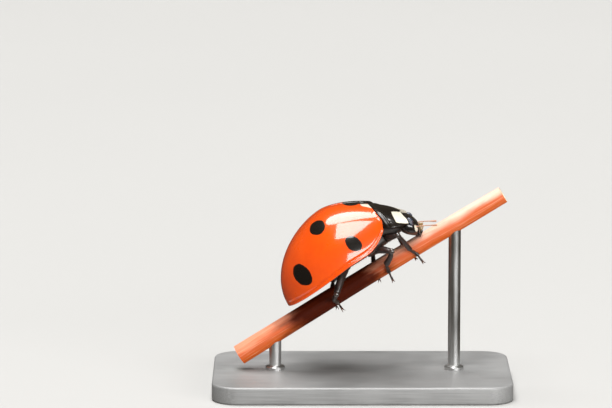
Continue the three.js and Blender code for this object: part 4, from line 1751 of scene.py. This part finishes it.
@dataclass
class Trunk:
    """The underside: the plates of the thorax, the belly's overlapping rings and the neck's base."""

    palette: Palette
    cases: WingCases
    shield: NeckShield
    inset: float = 0.42
    back_room: float = 0.86
    back_level: float = 1.4
    flank_level: float = 0.1
    belly: float = -0.3
    belly_bend: float = 0.85
    neck_from: float = 5.42
    neck_rise: float = 0.17
    rump_to: float = 1.5
    rump_fall: float = 0.2
    shield_room: float = 0.5
    least_width: float = 0.12
    rings_each_mm: int = 46
    ring_edges: tuple[float, ...] = (0.98, 1.42, 1.88, 2.36, 2.86)
    ring_lift: float = 0.035
    ring_seam: float = 0.022
    keel: Ridge = Ridge(0.05, 3.85, 0.35)
    middle_seam: Ridge = Ridge(-0.03, 0.0, 0.025)
    side_seam: Ridge = Ridge(-0.03, 1.35, 0.03)
    hip_seam: Ridge = Ridge(-0.045, 4.2, 0.035)
    breast_seam: Ridge = Ridge(-0.04, 4.62, 0.03)

    def length_of_trunk(
        self, start: float, stop: float, half_width: float | None, plates: Callable[[Grid, Grid], Grid]
    ) -> Patch:
        """A length of trunk between two distances from the tail.

        Args:
            start: Distance of its rear end.
            stop: Distance of its front end.
            half_width: Its half-width, or None to follow the wing cases.
            plates: Gives the relief of the lower side from x and y.

        Returns:
            The patch.
        """
        x = np.linspace(start, stop, max(16, int((stop - start) * self.rings_each_mm)))[:, None]
        if half_width:
            wide = half_width + 0 * x
            cover = self.shield.back_level(x) - self.shield_room
        else:
            wide = np.maximum(self.least_width, self.cases.half_outline(x) - self.inset)
            cover = self.cases.back_level(x) - self.back_room
        back = np.minimum(self.back_level, cover)
        flank = self.flank_level + np.minimum(0, self.cases.edge_level(x))
        neck = self.neck_rise * np.maximum(0, x - self.neck_from)
        belly = self.belly + neck + np.minimum(0, self.rump_fall * (x - self.rump_to))
        angle = full_turn(72)[None]
        below = np.clip(-np.sin(angle), 0, 1)
        height = np.where(np.sin(angle) > 0, back - flank, flank - belly)
        y = wide * np.cos(angle)
        z = flank + height * np.sign(np.sin(angle)) * np.abs(np.sin(angle)) ** self.belly_bend
        z = z - plates(x + 0 * angle, y) * np.minimum(1, 3 * below)
        return Patch.of_rings(np.stack([x + 0 * angle, y, z], -1))

    def belly_rings(self, x: Grid, y: Grid) -> Grid:
        """Relief of the belly's overlapping rings.

        Args:
            x: Distances from the tail.
            y: Distances from the middle.

        Returns:
            How far the surface lies outside the smooth one.
        """
        lift = np.zeros_like(x)
        bounds = (0.5, *self.ring_edges, 3.3)
        for rear, front in zip(bounds, bounds[1:]):
            inside = (x >= rear) & (x < front)
            share = np.clip((x - rear) / (front - rear), 0, 1)
            lift += np.where(inside, self.ring_lift * (1 - share) ** 1.5, 0)
        for edge in self.ring_edges:
            lift -= 0.03 * bell(x + 0.05 * y**2 / 4, edge, self.ring_seam)
        return lift

    def breast_plates(self, x: Grid, y: Grid) -> Grid:
        """Relief of the breast: a broad keel, a middle seam, side seams and two cross seams.

        Args:
            x: Distances from the tail.
            y: Distances from the middle.

        Returns:
            How far the surface lies outside the smooth one.
        """
        out = np.abs(y)
        lift = self.keel.over(x) * bell(y, 0, 0.9)
        lift += self.middle_seam.over(y) * smooth(-x, -4.25, -4.1)
        lift += self.side_seam.over(out) * smooth(-x, -4.9, -4.6)
        lift += self.hip_seam.over(x - 0.12 * out) + self.breast_seam.over(x - 0.25 * out)
        return lift

    def neck_plates(self, x: Grid, y: Grid) -> Grid:
        """Relief of the neck's base: a keel between the front hips."""
        return 0.06 * bell(y, 0, 0.12) - 0.02 * bell(np.abs(y), 0.2, 0.04)

    def build(self) -> list[Patch]:
        """Builds and dresses the trunk.

        Returns:
            Its patches, for their bristles.
        """
        lengths = {
            "abdomen": (0.6, 3.29, None, self.belly_rings),
            "thorax": (3.31, 5.42, None, self.breast_plates),
            "prothorax": (5.44, 6.26, 1.06, self.neck_plates),
        }
        for node, sizes in lengths.items():
            piece = self.length_of_trunk(*sizes).build(node + "_plates", [self.palette.under])
            enter(piece, Slot.UNDERSIDE, node)
        return [self.length_of_trunk(*sizes) for sizes in lengths.values()]


# ---- stem


@dataclass
class Stem:
    """The cut stem, with shallow ridges along it. Its places are row millimetres."""

    palette: Palette
    radius_low: float = 0.48
    radius_high: float = 0.41
    # points of its middle line, from the lower end
    path: tuple[Point, ...] = ((-5.6, 0.0, 1.46), (0.42, 0.0, 5.26), (6.4, 0.0, 8.9))
    length: float = 14.0
    shrink: float = 0.985  # share of the radius that the skin keeps
    ridge: float = 0.011
    # for each set of ridges its strength, its number, its twist in each millimetre and its first angle
    waves: tuple[tuple[float, float, float, float], ...] = (
        (1.0, 5.0, 0.35, 0.0),
        (0.6, 9.0, -0.2, 1.1),
        (0.5, 13.0, 0.12, 2.0),
        (0.5, 2.0, 1.7, -math.pi / 2),
    )
    crest: float = 2.2  # relief at which the skin reaches the full radius
    # for each ring of points in a cut end, its share of the stem's size and its depth
    core: tuple[tuple[float, float], ...] = ((0.3, 0.05), (0.8, 0.04), (0.93, 0.0))
    sides: int = 64

    def radius(self, share: Grid) -> Grid:
        """Radius at a share of the length."""
        return self.shrink * (self.radius_low + (self.radius_high - self.radius_low) * share)

    def build(self) -> None:
        """Builds and dresses the stem and its cut ends."""
        shares = np.linspace(0, 1, 220)
        path = curve_through(self.path, shares)
        angle = full_turn(self.sides)[None]
        along = shares[:, None] * self.length
        relief = sum(s * np.cos(n * angle + twist * along + start) for s, n, twist, start in self.waves)
        size = self.radius(shares)[:, None] + self.ridge * (relief - self.crest) / 2
        tangent = unit(np.gradient(path, axis=0))
        aside = np.array([0.0, 1.0, 0.0])
        up = np.cross(tangent, aside)
        up *= np.sign(up[:, 2:])
        rings = path[:, None] + size[..., None] * (
            np.cos(angle)[..., None] * up[:, None] + np.sin(angle)[..., None] * aside
        )
        body = Patch.of_rings(self.cut_back(rings, path, tangent), start=1, end=1)
        ends = len(self.core) * self.sides
        body.quad_look[:ends] = 1
        body.quad_look[-ends:] = 1
        piece = body.build("stem_length", [self.palette.bark, self.palette.pith], place=as_it_is)
        enter(piece, Slot.STEM, "perch_stem")

    def cut_back(self, rings: Grid, path: Grid, tangent: Grid) -> Grid:
        """Adds smaller rings inside each cut end, whose core has shrunk back a little.

        Args:
            rings: The stem's rings.
            path: Their centres.
            tangent: The stem's direction at each ring.

        Returns:
            All the rings.
        """
        ends = []
        for ring, centre, inward in ((rings[0], path[0], tangent[0]), (rings[-1], path[-1], -tangent[-1])):
            ends.append([centre + (ring - centre) * size + inward * depth for size, depth in self.core])
        return np.concatenate([ends[0], rings, ends[1][::-1]])

    def axis(self) -> Grid:
        """The middle line in body millimetres."""
        return BODY.from_row(curve_through(self.path, np.linspace(0, 1, 400)))

    def gripped(self, point: Point, clearance: float) -> Grid:
        """A point moved sideways until it lies a clearance above the stem's skin.

        Args:
            point: The point, in body millimetres.
            clearance: Distance from the skin to keep.

        Returns:
            The moved point.
        """
        axis = self.axis()
        nearest = axis[np.argmin(np.linalg.norm((axis - point)[:, [0, 2]], axis=1))]
        offset = math.hypot(point[0] - nearest[0], point[2] - nearest[2])
        middle, least = 0.55, 0.08
        reach = float(self.radius(middle)) + clearance
        least = min(abs(point[1]), least) if offset < reach else abs(point[1])
        aside = math.sqrt(max(reach**2 - offset**2, least**2))
        return np.array([point[0], math.copysign(aside, point[1]), point[2]])


# ---- legs


@dataclass
class Leg:
    """One leg, from the hip over the knee to the claws."""

    name: str  # the leg's name, which its nodes' names start with
    joints: tuple[Point, ...]  # hip, thigh, knee, shin, ankle, sole and foot
    palette: Palette
    stem: Stem
    femur: tuple[float, float] = (0.22, 0.18)  # greatest half-width and half-thickness of the femur
    coxa: Point = (0.2, 0.18, 0.15)  # half-sizes of the hip
    trochanter: float = 0.12  # radius of the small joint after the hip
    condyle: Point = (0.13, 0.118, 0.13)  # half-sizes of the knee cap
    tibia: float = 0.115
    tarsus: float = 0.095
    foot_thickness: float = 0.7  # share of the foot's half-width
    # for each joint of the foot its first and last place among the foot's points, and its half-widths
    # there as shares of the foot's
    foot_joints: tuple[tuple[int, int, float, float], ...] = (
        (0, 44, 0.5, 1.05), (36, 76, 0.55, 1.3), (66, 90, 0.4, 0.62), (80, 121, 0.4, 0.66)
    )
    # place of a claw ahead of, inwards from and beside the foot's end
    claw_root: Point = (-0.02, 0.0, 0.015)
    claw_tip: Point = (0.19, 0.08, 0.06)  # reach of a claw from its root in the same directions
    claw_bend: Point = (0.04, -0.04, 0.0)  # how far a claw's middle strays in the same directions
    tooth_tip: Point = (0.04, 0.065, 0.03)  # reach of a claw's tooth in the same directions

    def __post_init__(self) -> None:
        """Works out the plane that the leg bends in and where its foot grips."""
        hip, _, knee, _, ankle, sole, foot = (np.array(j) for j in self.joints)
        self.hinge = unit(np.cross(knee - hip, ankle - knee))
        self.sole = self.stem.gripped(sole, self.tarsus)
        self.foot = self.stem.gripped(foot, self.tarsus * self.foot_thickness)

    def limb(self, path: Grid, wide: Grid, deep: Grid, sides: int) -> Patch:
        """A limb whose width lies across the plane that the leg bends in."""
        return Patch.of_rings(swept(path, wide, deep, tuple(self.hinge), sides))

    def thigh_patches(self) -> list[Patch]:
        """The flattened femur, the hip, the small joint after it and the knee cap.

        Returns:
            A patch for each.
        """
        hip, thigh, knee = self.joints[:3]
        shares = close_ended(34)
        path = curve_through((hip, thigh, knee), shares)
        belly = 0.42 + 0.58 * np.sin(math.pi * np.clip(shares * 1.02, 0, 1) ** 0.75)
        ends = domed(shares, 0.1)
        wide, deep = self.femur
        femur = self.limb(path, wide * belly * ends, deep * (0.55 + 0.45 * belly) * ends, 24)
        start = np.array(hip)
        toward = unit(np.array(thigh) - start)
        coxa = ellipsoid(tuple(start - toward * 0.04), self.coxa, 14, 20)
        trochanter = ellipsoid(tuple(start + toward * 0.16), (self.trochanter,) * 3, 12, 18)
        condyle = ellipsoid(tuple(path[-3]), self.condyle, 16, 24)
        return [femur, coxa, trochanter, condyle.painted(1)]

    def shin_patches(self) -> list[Patch]:
        """The tibia, widening to its end, and its two small spurs.

        Returns:
            A patch for each.
        """
        knee, shin, ankle = (np.array(j) for j in self.joints[2:5])
        shares = close_ended(30)
        path = curve_through((knee, shin, ankle), shares)
        size = self.tibia * (0.82 + 0.3 * shares - 0.2 * bell(shares, 0.12, 0.1)) * domed(shares, 0.07)
        patches = [self.limb(path, size * 1.12, size * 0.88, 20)]
        ahead = unit(ankle - shin)
        for turn in (-1, 1):
            tip = ankle + ahead * 0.1 + self.hinge * turn * 0.05
            root = ankle - ahead * 0.03 + self.hinge * turn * 0.04
            patches.append(self.spike(root, tip, 0.02))
        return patches

    @staticmethod
    def spike(root: Grid, tip: Grid, radius: float, bend: Grid | float = 0.0) -> Patch:
        """A tapering spike.

        Args:
            root: Its root.
            tip: Its tip.
            radius: Its radius at the root.
            bend: How far its middle strays from the straight line.

        Returns:
            The patch.
        """
        shares = np.linspace(0, 1, 12)
        path = curve_through((root, (root + tip) / 2 + bend, tip), shares)
        size = radius * (1 - shares**1.6) + 0.002
        facing = unit(np.cross(tip - root, np.array([0.31, 0.87, 0.4])))
        return Patch.of_rings(swept(path, size, size, tuple(facing), 10))

    def foot_patches(self) -> tuple[list[Patch], list[Patch]]:
        """The foot's joints, and its two hooked claws with their teeth.

        Returns:
            The patches of the joints, and those of the claws.
        """
        path = curve_through((self.joints[4], self.sole, self.foot), np.linspace(0, 1, 121))
        shares = close_ended(18)
        joints = []
        for start, stop, thin, thick in self.foot_joints:
            size = self.tarsus * (thin + (thick - thin) * shares**0.8) * domed(shares, 0.16)
            joints.append(self.limb(resampled(path[start:stop], shares), size * 1.1, size * 0.8, 18))
        ahead = unit(path[-1] - path[-12])
        axis = self.stem.axis()
        centre = axis[np.argmin(np.linalg.norm(axis - self.foot, axis=1))]
        inward = unit(centre - self.foot)
        inward = unit(inward - ahead * (inward @ ahead))
        claws = []
        for turn in (-1, 1):
            ways = np.stack([ahead, inward, np.cross(ahead, inward) * turn])
            root = self.foot + np.array(self.claw_root) @ ways
            reaches = (self.claw_tip, self.claw_bend, self.tooth_tip)
            tip, bend, tooth = (np.array(reach) @ ways for reach in reaches)
            claws.append(self.spike(root, root + tip, 0.03, bend))
            claws.append(self.spike(root + ahead * 0.02, root + tooth, 0.018))
        return joints, claws

    def build(self) -> list[Patch]:
        """Builds and dresses the leg.

        Returns:
            The patches of its limbs, for their bristles.
        """
        looks = [self.palette.leg, self.palette.knee]
        thigh = Patch.joined(self.thigh_patches()).build(self.name + "_femur_plate", looks)
        enter(thigh, Slot.SHELL_BLACK, self.name + "_femur")
        shin = Patch.joined(self.shin_patches()).build(self.name + "_tibia_plate", [self.palette.leg])
        enter(shin, Slot.SHELL_BLACK, self.name + "_tibia")
        joints, claws = self.foot_patches()
        foot = Patch.joined([*joints, *(claw.painted(1) for claw in claws)])
        piece = foot.build(self.name + "_tarsus_claws", [self.palette.sole, self.palette.claw])
        enter(piece, Slot.SHELL_BLACK, self.name + "_tarsus")
        return [self.thigh_patches()[0], self.shin_patches()[0], *self.foot_patches()[0][:3]]


@dataclass
class Legs:
    """The six legs."""

    palette: Palette
    stem: Stem
    # for each leg its hip, thigh, knee, shin, ankle, sole and foot
    poses: dict[str, tuple[Point, ...]] = field(
        default_factory=lambda: {
            "leg_front_right": (
                (5.34, -0.6, -0.04), (5.66, -1.3, 0.04), (6.06, -1.6, -0.03), (6.1, -1.14, -0.58),
                (6.11, -0.68, -1.05), (6.25, -0.62, -1.42), (6.3, -0.42, -1.84),
            ),
            "leg_middle_right": (
                (4.5, -0.62, -0.27), (4.88, -1.24, -0.16), (5.47, -1.8, -0.5), (5.16, -1.26, -0.82),
                (4.84, -0.74, -1.06), (4.76, -0.66, -1.42), (4.7, -0.42, -1.86),
            ),
            "leg_hind_right": (
                (3.2, -0.55, -0.3), (2.88, -1.15, -0.42), (2.28, -1.75, -0.9), (2.1, -1.27, -1.08),
                (2.0, -0.76, -1.2), (2.02, -0.68, -1.5), (2.05, -0.56, -1.78),
            ),
            "leg_front_left": (
                (5.34, 0.6, -0.04), (5.56, 1.2, 0.0), (5.78, 1.62, -0.14), (5.86, 1.14, -0.58),
                (5.88, 0.68, -0.96), (5.98, 0.64, -1.32), (6.06, 0.55, -1.66),
            ),
            "leg_middle_left": (
                (4.5, 0.62, -0.27), (4.46, 1.25, -0.28), (4.52, 1.85, -0.5), (4.34, 1.28, -0.82),
                (4.22, 0.72, -1.08), (4.16, 0.66, -1.42), (4.1, 0.56, -1.7),
            ),
            "leg_hind_left": (
                (3.2, 0.55, -0.3), (2.74, 1.12, -0.46), (2.16, 1.7, -0.86), (1.98, 1.24, -1.08),
                (1.86, 0.76, -1.22), (1.82, 0.68, -1.52), (1.78, 0.56, -1.78),
            ),
        }
    )

    def build(self) -> list[Patch]:
        """Builds the legs.

        Returns:
            The patches of their limbs, for their bristles.
        """
        skins = []
        for name, joints in self.poses.items():
            skins += Leg(name, joints, self.palette, self.stem).build()
        return skins


@dataclass
class Bristles:
    """Fine bristles on the legs and the underside."""

    palette: Palette
    growths: Growths
    radius: float = 0.0035
    lean: Point = (-0.55, 0.0, -0.75)

    def plant(self, name: str, skins: list[Patch], each_mm2: float, length: float, seed: int) -> None:
        """Plants bristles on some skins as one piece.

        Args:
            name: Name of the piece.
            skins: The skins, as patches.
            each_mm2: Bristles on each square millimetre.
            length: Length of a bristle.
            seed: Seed of their places and lengths.
        """
        host = Patch.joined(skins).build("bristle_host", [self.palette.bristle])
        values = {
            "Material": self.palette.bristle,
            "Density": each_mm2 / METRES**2,
            "Length": length * METRES,
            "Radius": self.radius * METRES,
            "Lean": self.lean,
            "Seed": seed,
        }
        piece = self.growths.grow(name, host, self.growths.bristle_tree, values)
        enter(piece, Slot.UNDERSIDE)


# ---- stand


@dataclass
class Stand:
    """The display stand: a slab with rounded corners and two rods. Its places are row millimetres."""

    palette: Palette
    length: float = 13.6
    width: float = 8.0
    height: float = 0.8
    corner: float = 1.2
    bevel: float = 0.1
    rod_radius: float = 0.28
    collar_radius: float = 0.44
    collar_height: float = 0.2
    rods: dict[str, tuple[float, float]] = field(
        default_factory=lambda: {"stand_rod_low": (-3.96, 2.4), "stand_rod_high": (4.22, 7.6)}
    )

    def outline(self, inset: float, level: float) -> Grid:
        """The slab's outline.

        Args:
            inset: How far it is moved in.
            level: Its level.

        Returns:
            Its points.
        """
        radius = self.corner - inset
        turns = []
        for quarter in range(4):
            angle = np.linspace(quarter, quarter + 1, 17) * math.pi / 2
            x = (self.length / 2 - self.corner) * (1 if quarter in (0, 3) else -1) + radius * np.cos(angle)
            y = (self.width / 2 - self.corner) * (1 if quarter in (0, 1) else -1) + radius * np.sin(angle)
            turns.append(np.stack([x, y, 0 * x + level], -1))
        return np.concatenate(turns)

    def slab(self) -> Object:
        """The slab, its edges rounded over.

        Returns:
            The piece.
        """
        rings = [self.outline(self.bevel * 1.4, 0.0), self.outline(self.bevel, 0.0)]
        for angle in np.linspace(0, math.pi / 2, 7)[1:]:
            inset, level = self.bevel * (1 - math.sin(angle)), self.bevel * (1 - math.cos(angle))
            rings.append(self.outline(inset, level))
        for angle in np.linspace(0, math.pi / 2, 7):
            level = self.height - self.bevel * (1 - math.sin(angle))
            rings.append(self.outline(self.bevel * (1 - math.cos(angle)), level))
        rings.append(self.outline(self.bevel * 1.5, self.height))
        patch = Patch.of_rings(np.stack(rings))
        return patch.build("stand_slab", [self.palette.base], place=as_it_is, sharp=30)

    def rod(self, x: float, top: float) -> Patch:
        """A rod with a small collar where it enters the slab.

        Args:
            x: Its place along the stand.
            top: Level of its upper end.

        Returns:
            The patch.
        """
        rod, collar = self.rod_radius, self.collar_radius
        sunk, lip = self.height - 0.04, self.height + self.collar_height
        foot = ((0.1, sunk), (collar, sunk), (collar, lip - 0.07), (collar - 0.02, lip - 0.04))
        shaft = ((rod + 0.04, lip - 0.02), (rod, lip), (rod, top - 0.03), (rod - 0.03, top), (0.05, top))
        return Patch.of_rings(turned((*foot, *shaft), 40, x))

    def build(self) -> None:
        """Builds and dresses the slab and the rods."""
        enter(self.slab(), Slot.STAND, "stand_base")
        for node, (x, top) in self.rods.items():
            piece = self.rod(x, top).build(node + "_turned", [self.palette.rod], place=as_it_is, sharp=30)
            enter(piece, Slot.STAND, node)


# ---- studio


@dataclass(frozen=True)
class Softbox:
    """A soft light, rectangular or oval, that faces the beetle or straight down."""

    name: str
    centre: Point  # its middle from the beetle, as shares of the lights' height
    size: tuple[float, float]  # its width and height, as shares of the same
    radiance: float
    level: bool  # true if it lies flat, facing down
    turn: float = 0.0  # its turn about the vertical in degrees, where it lies flat
    oval: bool = False  # true for an oval face, false for a rectangular one

    def build(self, beetle: Point, height: float) -> None:
        """Hangs the light.

        Args:
            beetle: The beetle's middle, in metres.
            height: The lights' height above it, in metres.
        """
        data = bpy.data.lights.new(self.name, "AREA")
        data.shape = "ELLIPSE" if self.oval else "RECTANGLE"
        data.size, data.size_y = (side * height for side in self.size)
        share = math.pi / 4 if self.oval else 1.0
        data.energy = self.radiance * math.pi * data.size * data.size_y * share
        light = bpy.data.objects.new(self.name, data)
        away = Vector(self.centre) * height
        light.location = Vector(beetle) + away
        light.rotation_euler = (0, 0, math.radians(self.turn))
        if not self.level:
            light.rotation_euler = (-away).to_track_quat("-Z", "Y").to_euler()
        light.visible_camera = False
        bpy.context.scene.collection.objects.link(light)


@dataclass
class Studio:
    """Camera, soft lights and a pale floor."""

    palette: Palette
    aim_mm: Point = (-2.55, 0.0, 8.47)
    distance_mm: float = 177.0
    elevation: float = math.radians(10.0)
    pixels_each_mm: float = 22.0
    image_width: int = 612
    sensor: float = 36.0
    beetle: Point = (-0.0025, 0.0, 0.0065)
    height: float = 0.9
    lights: tuple[Softbox, ...] = (
        Softbox("near_softbox", (-0.1, -0.44, 1.0), (0.52, 0.76), 10.6, level=True, turn=-10.0),
        Softbox("far_softbox", (-0.19, 0.27, 1.0), (0.8, 0.56), 10.0, level=True, oval=True),
        Softbox("front_strip", (0.3, -0.504, 0.132), (0.57, 0.192), 10.0, level=False),
    )
    floor_reach: float = 0.4
    cove: float = 0.32
    sky: float = 0.06
    sky_colour: Colour = (1.0, 0.86, 0.66)
    horizon: Colour = (0.79, 0.78, 0.76)

    def camera(self) -> None:
        """Places the camera at its angle and sets its scale."""
        data = bpy.data.cameras.new("camera")
        data.sensor_width = self.sensor
        data.lens = self.sensor * self.distance_mm * self.pixels_each_mm / self.image_width
        data.clip_start, data.clip_end = 0.01, 50.0
        camera = bpy.data.objects.new("camera", data)
        back = Vector((0, -math.cos(self.elevation), math.sin(self.elevation)))
        camera.location = (Vector(self.aim_mm) + back * self.distance_mm) * METRES
        camera.rotation_euler = (math.pi / 2 - self.elevation, 0, 0)
        bpy.context.scene.collection.objects.link(camera)
        bpy.context.scene.camera = camera

    def floor(self) -> None:
        """Lays a pale floor that curves up far away, all round."""
        angle = np.linspace(0, math.pi / 2, 24)[1:]
        flat = np.linspace(0.05, self.floor_reach, 12)
        radii = np.r_[flat, self.floor_reach + self.cove * np.sin(angle)]
        levels = np.r_[0 * flat, self.cove * (1 - np.cos(angle))]
        sides = 96
        rings = turned(zip(radii, levels), sides)
        points = np.concatenate([rings.reshape(-1, 3), np.zeros((1, 3))])
        quads = ring_quads(len(radii), sides)[0]
        middle = [(len(points) - 1, a, (a + 1) % sides) for a in range(sides)]
        mesh = bpy.data.meshes.new("floor")
        mesh.from_pydata(points.tolist(), [], quads.tolist() + middle)
        mesh.materials.append(self.palette.floor)
        mesh.shade_smooth()
        floor = placed("floor", mesh)
        floor.visible_glossy = False

    def sky_and_horizon(self) -> None:
        """Adds a dim warm sky, which the camera sees as pale as the floor."""
        world = bpy.data.worlds.new("sky")
        world.use_nodes = True
        world.node_tree.nodes.clear()
        tree = Tree(world.node_tree)
        dim = tree.add("ShaderNodeBackground", {"Color": solid(self.sky_colour), "Strength": self.sky})
        pale = tree.add("ShaderNodeBackground", {"Color": solid(self.horizon), "Strength": 1.0})
        seen = tree.add("ShaderNodeLightPath").outputs["Is Camera Ray"]
        mixed = tree.add("ShaderNodeMixShader", {0: seen, 1: dim.outputs[0], 2: pale.outputs[0]})
        tree.add("ShaderNodeOutputWorld", {"Surface": mixed.outputs[0]})
        bpy.context.scene.world = world

    def build(self) -> None:
        """Sets up the camera, the floor, two overhead softboxes, a low front strip and the sky."""
        bpy.context.scene.view_settings.view_transform = "Standard"
        self.camera()
        self.floor()
        for light in self.lights:
            light.build(self.beetle, self.height)
        self.sky_and_horizon()


def main() -> None:
    """Builds the studio and every part."""
    logging.basicConfig(level=logging.INFO, format="%(message)s")
    palette = Palette()
    growths = Growths()
    Studio(palette).build()
    cases = WingCases(palette)
    cases.build()
    shield = NeckShield(palette)
    shield.build()
    Scutellum(palette, cases).build()
    Head(palette, growths).build()
    underside = Trunk(palette, cases, shield).build()
    stem = Stem(palette)
    stem.build()
    legs = Legs(palette, stem).build()
    bristles = Bristles(palette, growths)
    bristles.plant("leg_bristles", legs, each_mm2=90.0, length=0.07, seed=3)
    bristles.plant("underside_bristles", underside, each_mm2=40.0, length=0.08, seed=5)
    Stand(palette).build()


if __name__ == "__main__":
    main()
